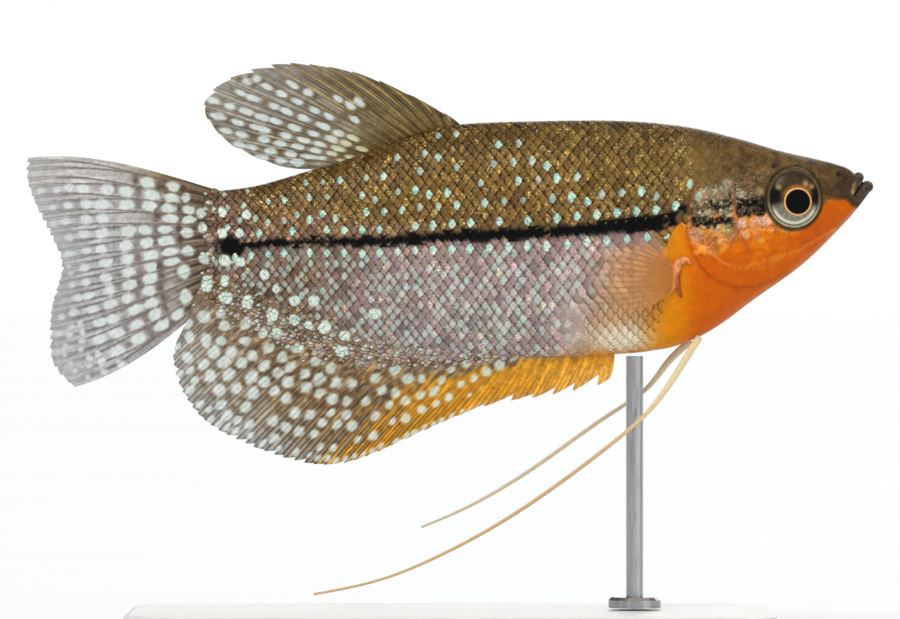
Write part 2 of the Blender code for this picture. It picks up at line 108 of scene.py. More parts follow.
def layered(colour, *coats):
    """A colour with coats laid over it in turn, each a shade and how far it covers."""
    for shade, share in coats:
        colour = blend(colour, shade, share)
    return colour


def oval(px, py, middle_x, middle_y, reach_x, reach_y=1.0):
    """Distance from an oval's middle, as a share of its reach."""
    return np.hypot((px - middle_x) / reach_x, (py - middle_y) / reach_y)


def chance(i, j, seed):
    """A fixed random number from 0 to 1 for each pair of whole numbers."""
    wave = np.sin(i * 127.1 + j * 311.7 + seed * 74.7) * 43758.5453
    return wave - np.floor(wave)


def grain(x, z, size, seed):
    """Smooth random values from 0 to 1, in patches of the given size."""
    u, v = np.asarray(x, float) / size, np.asarray(z, float) / size
    i, j = np.floor(u), np.floor(v)
    a, b = smooth(0, 1, u - i), smooth(0, 1, v - j)
    low = mix(chance(i, j, seed), chance(i + 1, j, seed), a)
    high = mix(chance(i, j + 1, seed), chance(i + 1, j + 1, seed), a)
    return mix(low, high, b)


def srgb(colour):
    """Screen colours from 0 to 255, as linear colours from 0 to 1."""
    share = np.clip(np.asarray(colour, float) / 255, 0, 1)
    return np.where(share <= 0.04045, share / 12.92, ((share + 0.055) / 1.055) ** 2.4)


def place(points):
    """Points of the fish's frame in metres in the row frame."""
    return (np.asarray(points, float) + (0, 0, AXIS_HEIGHT)) * MM


def to_pixels(x, z):
    return x / PIXEL + PIXEL_X, PIXEL_Y - z / PIXEL


def from_pixels(*points):
    return [((px - PIXEL_X) * PIXEL, (PIXEL_Y - py) * PIXEL) for px, py in points]


# Body, as in the part's source
BACK = Line((-31.2, 6.35), (-24.7, 7.2), (-19.5, 8.7), (-14.4, 10.2), (-7.3, 12.9), (-3.0, 14.4), (1.5, 15.1),
            (11.7, 15.5), (19.5, 15.6), (27.3, 15.2), (35.1, 13.9), (42.9, 11.6), (50.7, 9.7), (52.4, 8.8),
            (53.6, 7.6), (54.6, 7.2))
BELLY = Line((-31.2, -5.0), (-23.4, -8.4), (-14.3, -12.3), (-6.5, -14.3), (3.9, -15.2), (14.3, -15.2),
             (22.0, -14.9), (27.3, -14.3), (31.2, -13.1), (35.1, -11.0), (39.0, -8.1), (46.8, -2.3),
             (50.7, 1.6), (52.7, 3.8), (54.6, 6.3))
HALF_WIDTH = Line((-31.2, 1.4), (-24.0, 2.4), (-14.0, 3.6), (0.0, 4.9), (12.0, 5.5), (22.0, 5.9), (30.0, 6.1),
                  (36.0, 5.8), (42.0, 4.8), (47.0, 3.7), (51.0, 2.5), (53.0, 1.6), (54.6, 0.7))
WIDEST = Line((-30.5, 0.8), (-14.0, 2.2), (5.0, 2.8), (20.0, 1.0), (30.0, 0.2), (38.0, 2.0), (45.0, 4.2),
              (51.0, 5.8), (54.6, 6.8))
FULL_ABOVE = Line((-30.5, 1.1), (0.0, 1.0), (20.0, 0.95), (36.0, 0.9), (54.6, 0.95))
FULL_BELOW = Line((-30.5, 1.2), (-10.0, 1.35), (8.0, 1.2), (22.0, 0.95), (33.0, 1.0), (42.0, 1.15), (54.6, 1.0))
TAIL_END_X = -31.2
SHEATH_END_X = -32.4
SNOUT_X = 54.6


def width_at(x):
    """Half width of the body, tapering to the rays where the scales run out on to the tail fin."""
    return HALF_WIDTH(x) * mix(1.0, 0.28, smooth(TAIL_END_X + 1.5, SHEATH_END_X, x))


def section(x, turn):
    """The body's surface at a station x, where turn runs from 0 at the back over the left flank to pi."""
    rise, out = np.cos(turn), np.sin(turn)
    level = WIDEST(x)
    above = rise > 0
    z = level + np.where(above, BACK(x) - level, level - BELLY(x)) * rise
    full = np.where(above, FULL_ABOVE(x), FULL_BELOW(x))
    y = np.sign(out) * width_at(x) * np.abs(out) ** full
    return np.stack([x + 0 * turn, y, z], -1)


def skin_normal(x, turn):
    along = section(x + 0.02, turn) - section(x - 0.02, turn)
    around = section(x, turn + 0.004) - section(x, turn - 0.004)
    normal = np.cross(along, around)
    return normal / np.linalg.norm(normal, axis=-1, keepdims=True)


def half_width_at(x, z):
    level = WIDEST(x)
    edge = np.where(z > level, BACK(x), BELLY(x))
    full = np.where(z > level, FULL_ABOVE(x), FULL_BELOW(x))
    rise = np.clip(np.abs((z - level) / (edge - level)), 0, 1)
    return width_at(x) * np.sqrt(1 - rise * rise) ** full


# Markings, in pixels of the picture's frame
STRIPE_LEVEL = Line((200, 250), (232, 247.5), (256, 244.5), (290, 242.4), (340, 241.8), (380, 241.4), (400, 240),
                    (450, 237.2), (500, 234.8), (550, 232.6), (600, 228.4), (640, 224.8), (668, 220.4), (690, 215.5),
                    (712, 214.5), (736, 211), (764, 207))
STRIPE_HALF = Line((200, 1.0), (222, 3.0), (260, 3.8), (300, 4.1), (360, 4.8), (400, 5.4), (500, 6.4), (600, 7.0),
                   (650, 7.8), (690, 6.5), (764, 8.0))
STRIPE_BLACK = [4, 4, 5]
STRIPE_DEPTH = 0.98
TAIL_SPOT = (231.5, 247.0, 1.12)
TAIL_SPOT_SIZE = 12.0
CHEEK_SPOT = (681.5, 210, 0.85)
CHEEK_SPOT_SIZE = 5.2
BIG_PEARLS = (
    (222.5, 212, 4.5, 5.5), (247, 215, 5, 5), (201, 213, 5, 6), (202.5, 227.5, 5, 5.5), (222.5, 233, 5.5, 6),
    (240, 233, 4.5, 5), (224.5, 261, 6.5, 6), (241, 262.5, 5.5, 5), (204, 259, 6, 6), (224.5, 280.5, 5, 6),
    (207, 283, 6, 9), (226, 298, 7, 6.5), (247.5, 302.5, 6, 7.5), (204, 317, 7.5, 7.5), (221, 314, 6, 5),
    (245.5, 324.5, 6.5, 6.5), (272, 314.5, 6.5, 6.5), (224.5, 326, 6, 5.5), (263, 334, 5.5, 5.5), (277.5, 334, 5, 6),
    (206, 340, 6, 8), (221, 341, 6, 5), (245.5, 341, 6.5, 5.5), (276, 289, 4, 5), (295, 301, 6, 5.5), (314, 301, 6, 6),
    (294, 320, 5.5, 6), (325, 327.5, 7, 7), (345, 336, 6, 5.5), (309, 325, 5, 4), (375, 314, 7, 6), (265, 275, 5, 6),
    (297, 349, 8, 5), (342, 351, 7, 6), (186, 198, 5, 5.5), (187, 233, 6.5, 6), (188, 251, 7, 6), (184, 272, 7.5, 8),
    (186, 297, 7, 9), (190, 337, 5.5, 6.5), (188, 357, 6, 6),
)
GOLD_LINE = Line((640, 262), (664, 244), (680, 222), (690, 238), (712, 256), (735, 240), (760, 231), (775, 233),
                 (800, 229), (821, 205), (845, 199), (852, 205), (875, 208))
EYE = (44.53, 5.39)
EYE_REACH = (3.58, 3.94)
PUPIL = (45.0, 4.92)
# Patches on the head, as middle and reach in pixels, colour and strength. Some are the head's own pink, orange and dark
# patches. The pale silver, green and cyan ones on the gill cover, and the brightest orange ones on its lower flap, are
# painted glints and highlights.
HEAD_MARKS_AND_GLINTS = (
    (712, 193, 15, 8, (178, 168, 122), 0.6), (697, 197, 4, 6, (150, 190, 176), 0.75),
    (726, 185, 6, 6, (176, 180, 160), 0.6), (704, 199, 7, 5, (170, 112, 80), 0.5),
    (740, 195, 6, 4, (178, 172, 146), 0.6), (757, 192, 6, 5, (176, 150, 104), 0.55),
    (748, 205, 4, 2.5, (150, 146, 122), 0.6), (757, 209, 5, 3, (160, 136, 96), 0.6),
    (739, 204, 3, 4, (120, 124, 104), 0.6), (708, 214, 7, 3, (132, 130, 96), 0.7),
    (724, 213, 6, 3, (112, 116, 96), 0.65), (694, 236, 8, 8, (190, 134, 112), 0.7),
    (714, 229, 6, 5, (178, 160, 130), 0.65), (726, 229, 6, 5, (196, 186, 112), 0.8),
    (708, 243, 9, 6, (184, 106, 60), 0.6), (740, 224, 5, 5.5, (214, 164, 144), 0.85),
    (751, 223, 4, 6, (206, 134, 104), 0.8), (763, 221, 8, 6, (218, 164, 146), 0.85),
    (744, 236, 4.5, 5, (212, 150, 124), 0.8), (755, 236, 3.5, 5, (206, 136, 96), 0.7),
    (768, 229, 7, 3, (222, 130, 76), 0.6), (760, 241, 4, 3, (224, 170, 92), 0.7),
    (705, 251, 9, 3.5, (236, 150, 66), 0.6), (694, 253, 4, 3, (240, 170, 96), 0.5),
    (838, 193, 12, 8, (66, 48, 38), 0.6), (836, 174, 5, 4, (84, 68, 48), 0.6), (772, 166, 4, 4, (80, 62, 38), 0.5),
    (858, 198, 6, 5, (104, 84, 58), 0.6),
)


def body_colour(x, z):
    """The skin's own colour, before scales, by zone."""
    px, py = to_pixels(x, z)
    back = to_pixels(x, BACK(x))[1]
    belly = to_pixels(x, BELLY(x))[1]
    stripe = STRIPE_LEVEL(px)
    above = np.clip((py - back) / np.maximum(stripe - back, 1), 0, 1)
    below = np.clip((py - stripe) / np.maximum(belly - stripe, 1), 0, 1)
    upper = layered(
        np.array([82.0, 60, 22]),
        ([114, 87, 35], smooth(0.0, 0.35, above)),
        ([116, 89, 52], smooth(0.5, 1.0, above)),
        ([122, 94, 70], 0.8 * smooth(430, 260, px) * smooth(0.15, 0.65, above)))
    upper = layered(
        upper * mix(0.95, 0.88, smooth(560, 640, px))[..., None] * [1, 1, 0.94],
        ([110, 84, 72], 0.8 * smooth(268, 228, px)),
        ([92, 69, 38], smooth(690, 745, px)),
        ([86, 66, 48], 0.8 * glint_share(px, py)))
    lower = layered(
        np.array([140.0, 112, 104]),
        ([154, 138, 136], smooth(0.0, 0.3, below)),
        ([158, 146, 144], smooth(0.4, 0.9, below)),
        ([101, 80, 56], smooth(430, 270, px)))
    lower = layered(
        lower * [0.97, 0.95, 0.93],
        ([172, 154, 146], 0.8 * smooth(490, 570, px) * smooth(0.1, 0.5, below)),
        ([196, 152, 106], smooth(572, 630, px + 0.3 * (py - 285)) * smooth(238, 262, py)),
        ([200, 122, 40], smooth(636, 684, px)),
        ([226, 212, 186], smooth(1.15, 0.2, oval(px, py, 624, 339, 46, 21))),
        ([214, 138, 52], 0.8 * smooth(7, 1, belly - py) * smooth(545, 585, px)))
    gold = smooth(-3, 4, py - GOLD_LINE(px)) * smooth(634, 684, px + 0.12 * (py - 290))
    orange = layered(
        np.array([198.0, 89, 0]),
        ([204, 92, 0], smooth(760, 850, px) * smooth(235, 262, py)),
        ([214, 128, 0], smooth(705, 670, px)),
        ([192, 80, 0], 0.8 * smooth(26, 6, oval(px, py, 810, 232, 1.4))),
        ([208, 102, 0], 0.6 * smooth(30, 8, oval(px, py, 765, 248, 1.5))),
        ([196, 120, 82], 0.6 * (smooth(9, 2, belly - py) * smooth(700, 760, px))))
    colour = layered(
        blend(upper, lower, smooth(-2, 3, py - stripe)),
        ([122, 92, 40], 0.7 * smooth(1.2, 0.3, oval(px, py, 668, 236, 20, 14)) * (1 - gold)),
        (orange, gold),
        ([68, 50, 32], 0.85 * smooth(812, 846, px) * (1 - gold)))
    # The head's own patches, and the painted glints and highlights on the gill cover.
    for *where, shade, strength in HEAD_MARKS_AND_GLINTS:
        colour = blend(colour, shade, strength * smooth(1.2, 0.65, oval(px, py, *where)))
    return colour


def stripe_share(x, z, wobble=0.0):
    """How far the black markings cover the skin: the stripe, its bars on the head and its spots."""
    px, py = to_pixels(x, z)
    away = np.abs(py - STRIPE_LEVEL(px)) - STRIPE_HALF(px) - wobble
    body = smooth(1.2, -1.2, away) * smooth(214, 224, px) * smooth(680, 674, px)
    mottled = 7 * (grain(x, z, 0.45, 31) - 0.5)
    cover = smooth(2.6, -1.4, np.abs(py - 222) - 4.2 + mottled) * smooth(686, 692, px) * smooth(735, 731, px)
    front = smooth(2.6, -1.4, np.abs(py - mix(209, 207, smooth(735, 765, px))) - 7.5 + mottled)
    front = front * smooth(731, 735, px) * smooth(770, 762, px)
    upper = smooth(2.4, -1.0, np.abs(py - 205) - 2.6 + mottled) * smooth(703, 710, px) * smooth(735, 731, px)
    tail_spot = smooth(1.5, -2.0, oval(px, py, *TAIL_SPOT) - TAIL_SPOT_SIZE - wobble)
    cheek_spot = smooth(1.5, -1.0, oval(px, py, *CHEEK_SPOT) - CHEEK_SPOT_SIZE)
    return np.maximum.reduce([body, 0.9 * cover, 0.92 * front, 0.8 * upper, tail_spot, 0.95 * cheek_spot])


def big_pearls(x, z):
    """Distance from the nearest of the round pearls about the tail's base and the rear belly, as a share of its size.

    These pearls lie over scales and fins alike."""
    px, py = to_pixels(x, z)
    nearest = np.full(px.shape, 9.0)
    for pearl in BIG_PEARLS:
        nearest = np.minimum(nearest, oval(px, py, *pearl))
    return nearest * (1 + 0.3 * (grain(x, z, 0.5, 71) - 0.5))


def smooth_share(px, py):
    """How far the scales sink into soft skin, on the nape, the chest and the pale patch of the belly."""
    patch = smooth(1.3, 0.75, oval(px, py, 632, 325, 62, 38))
    chest = smooth(632, 668, px) * smooth(222, 236, py)
    nape = 0.9 * smooth(672, 716, px)
    return np.maximum.reduce([patch, chest, nape])


def coat_share(px, py):
    """1 where scales lie, fading on the chest and the top of the head, and 0 on the bare face and gill cover."""
    ahead = smooth(752, 712, px) * smooth(196, 184, py)
    behind = smooth(693, 683, px - 0.7 * np.maximum(py - 238, 0))
    behind = behind * (1 - smooth(660, 694, px + 0.35 * (py - 300)) * smooth(226, 244, py))
    behind = behind * (1 - smooth(-6, 6, py - GOLD_LINE(px)) * smooth(662, 680, px))
    return np.maximum(ahead, behind)


# Mesh and material helpers
def new_object(name, data):
    obj = bpy.data.objects.new(name, data)
    bpy.context.scene.collection.objects.link(obj)
    return obj


def build(name, points, faces, smooth_faces=True):
    """A mesh object from points in the fish's frame."""
    mesh = bpy.data.meshes.new(name)
    mesh.from_pydata(place(points).tolist(), [], [list(face) for face in faces])
    if smooth_faces:
        mesh.shade_smooth()
    return new_object(name, mesh)


def turn_outward(obj, weld=0.0):
    """Turns the faces outward, after joining points that lie within the weld distance."""
    bm = bmesh.new()
    bm.from_mesh(obj.data)
    if weld:
        bmesh.ops.remove_doubles(bm, verts=bm.verts, dist=weld)
    bmesh.ops.recalc_face_normals(bm, faces=bm.faces)
    bm.to_mesh(obj.data)
    bm.free()


def paint(obj, colour, **numbers):
    """Stores linear colours, and any other numbers, on the object's vertices."""
    count = len(obj.data.vertices)
    tint = obj.data.attributes.new("Tint", "FLOAT_COLOR", "POINT")
    rgba = np.ones((count, 4), np.float32)
    rgba[:, :3] = srgb(colour)
    tint.data.foreach_set("color", rgba.ravel())
    for name, values in numbers.items():
        attribute = obj.data.attributes.new(name, "FLOAT", "POINT")
        attribute.data.foreach_set("value", np.ascontiguousarray(values, np.float32))


def read_points(obj):
    """The object's vertices in the fish's frame."""
    flat = np.empty(len(obj.data.vertices) * 3, np.float32)
    obj.data.vertices.foreach_get("co", flat)
    return flat.reshape(-1, 3).astype(float) / MM - (0, 0, AXIS_HEIGHT)


def write_points(obj, points):
    obj.data.vertices.foreach_set("co", place(points).astype(np.float32).ravel())
    obj.data.update()


def read_normals(obj):
    flat = np.empty(len(obj.data.vertices) * 3, np.float32)
    obj.data.vertices.foreach_get("normal", flat)
    return flat.reshape(-1, 3).astype(float)


class Nodes:
    """A small helper that adds nodes to a material and joins them."""

    def __init__(self, name, **values):
        self.material = bpy.data.materials.new(name)
        self.material.use_nodes = True
        self.tree = self.material.node_tree
        self.shader = self.tree.nodes["Principled BSDF"]
        for key, value in values.items():
            self.shader.inputs[key.replace("_", " ")].default_value = value

    def add(self, kind, inputs=None, **properties):
        node = self.tree.nodes.new("ShaderNode" + kind)
        for key, value in properties.items():
            setattr(node, key, value)
        for key, value in (inputs or {}).items():
            if isinstance(value, bpy.types.NodeSocket):
                self.tree.links.new(value, node.inputs[key])
            else:
                node.inputs[key].default_value = value
        return node

    def attribute(self, name, output="Fac"):
        return self.add("Attribute", attribute_name=name).outputs[output]

    def where(self):
        return self.add("TexCoord").outputs["Object"]

    def noise(self, scale, detail=4.0, roughness=0.6):
        inputs = {"Vector": self.where(), "Scale": scale, "Detail": detail, "Roughness": roughness}
        return self.add("TexNoise", inputs).outputs["Fac"]

    def crystals(self, scale):
        """Red and green of small cells, each with numbers of its own."""
        cells = self.add("TexVoronoi", {"Vector": self.where(), "Scale": scale})
        return self.add("SeparateColor", {"Color": cells.outputs["Color"]}).outputs

    def ramp(self, factor, *stops):
        node = self.add("ValToRGB", {"Fac": factor})
        elements = node.color_ramp.elements
        while len(elements) < len(stops):
            elements.new(0.5)
        for element, (position, value) in zip(elements, stops):
            element.position = position
            element.color = (*value, 1) if hasattr(value, "__len__") else (value, value, value, 1)
        return node.outputs["Color"]

    def mixed(self, factor, first, second, kind="MIX"):
        inputs = {key: (*value, 1) if isinstance(value, tuple) else value
                  for key, value in ((0, factor), (6, first), (7, second))}
        return self.add("Mix", inputs, data_type="RGBA", blend_type=kind).outputs[2]

    def shade(self, first, second, factor=1.0):
        return self.mixed(factor, first, second, "MULTIPLY")

    def math(self, operation, first, second=0.5):
        return self.add("Math", {0: first, 1: second}, operation=operation).outputs[0]

    def times(self, first, second):
        return self.math("MULTIPLY", first, second)

    def plus(self, first, second):
        return self.math("ADD", first, second)

    def bump(self, height, strength, distance):
        node = self.add("Bump", {"Height": height, "Strength": strength, "Distance": distance})
        self.link(node.outputs["Normal"], "Normal")

    def link(self, output, name):
        self.tree.links.new(output, self.shader.inputs[name])


def finish_piece(obj, material, slot, *replaced):
    obj.data.materials.clear()
    obj.data.materials.append(material)
    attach(obj, "root")
    if replaced:
        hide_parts(*replaced)


def tone(*colour):
    return tuple(float(value) for value in srgb(colour))


def skin_material():
    made = Nodes("skin_wet", Specular_IOR_Level=0.09)
    fine = made.noise(3400.0, 3.0)
    blotch = made.noise(700.0, 3.0)
    patch = made.noise(1900.0, 2.0)
    tint = made.attribute("Tint", "Color")
    mottled = made.shade(tint, made.ramp(fine, (0.36, 0.55), (0.52, 0.74), (0.66, 1.0)))
    mottled = made.shade(mottled, made.ramp(blotch, (0.35, 0.7), (0.65, 1.0)))
    mottled = made.shade(mottled, (1.6, 1.6, 1.6))
    mottled = made.mixed(made.attribute("Rough"), tint, mottled)
    # The Glint share paints glints on the crumpled skin: silvery, green and pink painted highlights with dark gaps
    # between.
    shine = made.ramp(made.crystals(2500.0)[1], (0.0, tone(70, 72, 54)), (0.3, tone(134, 132, 100)),
                      (0.6, tone(206, 206, 172)), (0.8, tone(150, 104, 84)), (1.0, tone(196, 150, 128)))
    thin = made.times(made.ramp(patch, (0.46, 0.0), (0.54, 1.0)), made.ramp(fine, (0.42, 0.25), (0.56, 1.0)))
    made.link(made.mixed(made.times(thin, made.attribute("Glint")), mottled, shine), "Base Color")
    dull = made.ramp(tint, (0.002, 0.45), (0.02, 0.0))
    made.link(made.plus(made.ramp(blotch, (0.3, 0.36), (0.7, 0.52)), dull), "Roughness")
    made.bump(fine, 0.3, 0.0001)
    return made.material


def scale_material():
    made = Nodes("scales_wet", Specular_IOR_Level=0.16)
    tint = made.attribute("Tint", "Color")
    back, up, pearl, line = (made.attribute(name) for name in ("Back", "Up", "Pearl", "Line"))
    spark, spot = made.attribute("Spark"), made.attribute("Spot")
    chips = made.crystals(5200.0)
    fine = made.noise(3600.0, 3.0)
    wide = made.noise(1100.0, 2.0)

    def far(middle, reach_back, reach_up):
        """Distance from a place on the scale, as a share of the reach, with a ragged outline."""
        along = made.math("DIVIDE", made.math("SUBTRACT", back, middle), reach_back)
        across = made.math("DIVIDE", up, reach_up)
        squares = made.plus(*(made.math("POWER", made.math("ABSOLUTE", part), 2.0) for part in (along, across)))
        return made.plus(made.math("SQRT", squares), made.times(made.math("SUBTRACT", wide), 0.9))

    # The scale's own colour with its random chips, then painted glints on scales that carry Spark: bright flecks on the
    # middle and a painted glow over it
    plain = made.shade(tint, made.ramp(fine, (0.36, 0.42), (0.52, 0.6), (0.66, 1.0)))
    plain = made.shade(plain, (1.66, 1.63, 1.6))
    plain = made.mixed(made.plus(made.times(line, 0.75), 0.15), tint, plain)
    chipped = made.shade(made.ramp(chips[1], (0.0, (0.62, 0.58, 0.6)), (1.0, (1.0, 0.98, 0.94))), plain)
    plain = made.mixed(made.times(line, 0.3), plain, chipped)
    core = made.ramp(far(0.45, 0.55, 0.6), (0.5, 1.0), (1.0, 0.1))
    # Painted glints: gold flecks on the middle of scales that carry Spark.
    fleck = made.times(made.ramp(fine, (0.56, 0.0), (0.64, 1.0)), spark)
    bright = made.mixed(0.45, tone(226, 214, 150), made.shade(tint, (2.1, 2.1, 2.1)))
    plain = made.mixed(made.times(fleck, core), plain, bright)
    # A painted glow that lightens the middle of the same scales.
    glow = made.times(made.ramp(far(0.42, 0.5, 0.55), (0.25, 1.0), (0.95, 0.0)), spark)
    plain = made.mixed(made.times(glow, 0.75), plain, made.shade(plain, (1.8, 1.78, 1.6)))
    # The pearl, its dark rim and the big pearls
    shine = made.ramp(chips[0], (0.0, tone(60, 168, 166)), (0.3, tone(112, 214, 200)), (0.55, tone(196, 244, 226)),
                      (0.78, tone(250, 255, 250)), (1.0, tone(186, 214, 130)))
    soft = made.ramp(chips[0], (0.0, tone(172, 202, 194)), (0.6, tone(216, 228, 218)), (1.0, tone(230, 230, 200)))
    shine = made.mixed(0.18, shine, made.shade(tint, (2.2, 2.2, 2.2)))
    shine = made.mixed(made.ramp(pearl, (0.25, 0.75), (0.85, 0.1)), shine, made.mixed(0.35, soft, tint))
    grown = made.plus(made.times(pearl, 0.4), 0.7)
    mask = made.ramp(made.math("DIVIDE", far(0.5, 0.47, 0.5), grown), (0.66, 1.0), (1.04, 0.0))
    shown = made.ramp(pearl, (0.0, 0.0), (0.12, 0.35), (0.7, 0.9), (1.0, 1.0))
    face = made.mixed(made.times(mask, shown), plain, shine)
    rim = made.times(made.ramp(far(0.0, 1.0, 1.0), (0.52, 0.0), (0.8, 0.5), (0.94, 1.0)), line)
    rim = made.times(rim, made.ramp(pearl, (0.7, 1.0), (0.95, 0.25)))
    face = made.mixed(rim, face, made.shade(tint, tone(132, 100, 88)))
    made.link(made.mixed(made.ramp(spot, (0.41, 1.0), (0.53, 0.0)), face, soft), "Base Color")
    dull = made.ramp(tint, (0.002, 0.5), (0.02, 0.0))
    made.link(made.plus(made.ramp(fine, (0.35, 0.5), (0.65, 0.32)), dull), "Roughness")
    made.bump(fine, 0.3, 0.00005)
    return made.material


def flecked(made, scale, depth, dark):
    """Links the painted colour, darkened in flecks, and returns the noise that makes the flecks."""
    fine = made.noise(scale)
    flecks = made.ramp(fine, (0.3, dark), (0.7, 1.0))
    made.link(made.shade(made.attribute("Tint", "Color"), flecks, depth), "Base Color")
    return fine


def fin_material():
    made = Nodes("fin_membrane", Roughness=0.5, Specular_IOR_Level=0.15)
    fine = flecked(made, 1500.0, 0.25, 0.7)
    made.link(made.attribute("Cover"), "Alpha")
    made.bump(fine, 0.25, 0.00005)
    return made.material


def eye_material():
    made = Nodes("eye_wet", Specular_IOR_Level=0.16)
    flecked(made, 2200.0, 0.35, 0.55)
    made.link(made.ramp(made.attribute("Tint", "Color"), (0.002, 0.85), (0.03, 0.24)), "Roughness")
    return made.material


def feeler_material():
    made = Nodes("feeler_flesh", Roughness=0.4, Subsurface_Weight=0.2)
    made.shader.inputs["Subsurface Radius"].default_value = (0.001, 0.0005, 0.0003)
    made.bump(flecked(made, 1800.0, 0.3, 0.7), 0.2, 0.00005)
    return made.material


def stand_material():
    made = Nodes("stand_satin", Roughness=0.5)
    made.link(made.ramp(made.noise(90.0), (0.3, (0.72, 0.72, 0.7)), (0.7, (0.78, 0.78, 0.765))), "Base Color")
    made.link(made.ramp(made.noise(700.0), (0.3, 0.42), (0.7, 0.58)), "Roughness")
    made.bump(made.noise(2500.0), 0.15, 0.00005)
    return made.material


def steel_material():
    made = Nodes("rod_steel", Metallic=1.0, Roughness=0.3, Anisotropic=0.4)
    stretched = made.add("Mapping", {"Vector": made.where(), "Scale": (4000.0, 4000.0, 300.0)})
    drawn = made.add("TexNoise", {"Vector": stretched.outputs["Vector"], "Scale": 1.0, "Detail": 3.0})
    made.link(made.ramp(drawn.outputs["Fac"], (0.3, (0.42, 0.42, 0.43)), (0.7, (0.6, 0.6, 0.61))), "Base Color")
    made.link(made.ramp(drawn.outputs["Fac"], (0.3, 0.24), (0.7, 0.4)), "Roughness")
    return made.material


# Skin
GILL_REAR_EDGE = from_pixels((695, 184), (688.7, 204), (685.3, 222), (686.4, 238), (691, 252), (698.7, 265.5),
                             (708.7, 276.7), (722, 283), (738.7, 287.8), (755, 285.5), (772, 280), (790, 272))
GILL_INNER_EDGE = from_pixels((690, 243), (705, 249), (714, 257), (722, 263), (733, 267), (742, 268), (762, 262),
                              (796, 251), (835, 229))
CHEEK_RIDGE = from_pixels((731, 184), (733, 205), (733, 222), (737, 233), (743, 241), (748, 254))
MOUTH_LINE = from_pixels((864, 180.5), (860.8, 186), (857.4, 191), (853.5, 195.5))
JAW_BAR = from_pixels((853.5, 184), (852.5, 189), (852, 194))
NOSTRILS = [(50.45, 8.55, 0.34), (41.9, 9.55, 0.28)]
# Each line on the skin, with its height on its left, its height on its right and its reach
FOLDS = ((GILL_REAR_EDGE, 0.2, -0.1, 0.5), (GILL_INNER_EDGE, -0.1, 0.16, 0.4), (CHEEK_RIDGE, 0.12, -0.12, 0.35),
         (MOUTH_LINE, -0.2, -0.2, 0.15), (JAW_BAR, 0.14, 0.14, 0.3))
# Lines that are painted as well, with their colour, reach and depth: painted shadow in the groove behind the gill cover
# and in the mouth's slit, a pale line on the gill cover's inner ridge that is partly its own pinkish colour and partly
# a painted highlight, and the cheek ridge's own pink-orange line
FOLD_COLOURS_AND_PAINTED_SHADE = ((GILL_REAR_EDGE, [184, 82, 18], 0.16, 0.5), (GILL_INNER_EDGE, [232, 150, 92], 0.14, 0.5),
                (CHEEK_RIDGE, [196, 96, 52], 0.16, 0.7), (MOUTH_LINE, [26, 20, 16], 0.11, 0.9))
RAISED_MARKS = HEAD_MARKS_AND_GLINTS[9:23]


def away_from(path, x, z):
    """Distance in side view from a broken line, and which side of it a point is on."""
    best = np.full(x.shape, 1e9)
    side = np.zeros(x.shape)
    for (ax, az), (bx, bz) in zip(path, path[1:]):
        dx, dz = bx - ax, bz - az
        share = np.clip(((x - ax) * dx + (z - az) * dz) / (dx * dx + dz * dz), 0, 1)
        gap = np.hypot(x - ax - share * dx, z - az - share * dz)
        turn = dx * (z - az) - dz * (x - ax)
        nearer = gap < best
        best = np.where(nearer, gap, best)
        side = np.where(nearer, np.sign(turn), side)
    return best, side


def eye_share(x, z):
    """Distance from the eye's middle, as a share of its reach."""
    return oval(x, z, *EYE, *EYE_REACH)


def eye_surface(x, z):
    """How far out the eyeball's front stands."""
    bulge = 1 - ((x - EYE[0]) / 4.3) ** 2 - ((z - EYE[1]) / 4.7) ** 2
    return 3.02 + 2.2 * np.sqrt(np.clip(bulge, 0, 1)) - 0.12 * (x - EYE[0])


def glint_share(px, py):
    """How much the silvery crumpled skin of the gill cover and upper cheek glitters, as the share of painted glints it
    carries; the same share darkens the skin's own colour there and crumples its relief.
    """
    cover = smooth(1.15, 0.6, oval(px, py, 722, 212, 44, 34))
    return cover * smooth(772, 758, px) * (1 - 0.6 * smooth(236, 252, py))


def relief(x, z):
    """How far the skin stands out from the plain form of the body, in side view."""
    px, py = to_pixels(x, z)
    height = np.zeros(px.shape)
    for path, left, right, reach in FOLDS:
        gap, side = away_from(path, x, z)
        fold = np.where(side > 0, left, right) * np.exp(-((gap / reach) ** 2))
        height = height + (fold * smooth(840, 800, px) if path is GILL_INNER_EDGE else fold)
    for nx, nz, radius in NOSTRILS:
        gap = np.hypot(x - nx, z - nz)
        height = height - 0.35 * np.exp(-((gap / radius) ** 4)) + 0.08 * np.exp(-(((gap - 1.5 * radius) / 0.14) ** 2))
    for *where, _, strength in RAISED_MARKS:
        height = height + 0.09 * strength * smooth(1.3, 0.6, oval(px, py, *where))
    crumpled = glint_share(px, py)
    folds = 1 - np.abs(2 * grain(x, z, 0.62, 5) - 1) + 0.6 * (1 - np.abs(2 * grain(x, z, 0.3, 6) - 1))
    height = height + (0.15 * crumpled + 0.03 * smooth(690, 740, px)) * (folds - 0.8)
    pores = grain(x, z, 1.3, 9) + 0.5 * grain(x, z, 0.5, 10)
    height = height + 0.05 * smooth(700, 760, px) * (pores - 0.75)
    return height - (COAT_DEPTH - 0.055 * smooth_share(px, py)) * coat_share(px, py)


LIPS = {
    "upper": {"centre": (52.5, 8.15), "reach": 0.62, "spread": 1.5, "drop": 1.4, "thick": 0.68},
    "lower": {"centre": (52.95, 6.95), "reach": 1.3, "spread": 1.35, "drop": 1.0, "thick": 0.78},
}


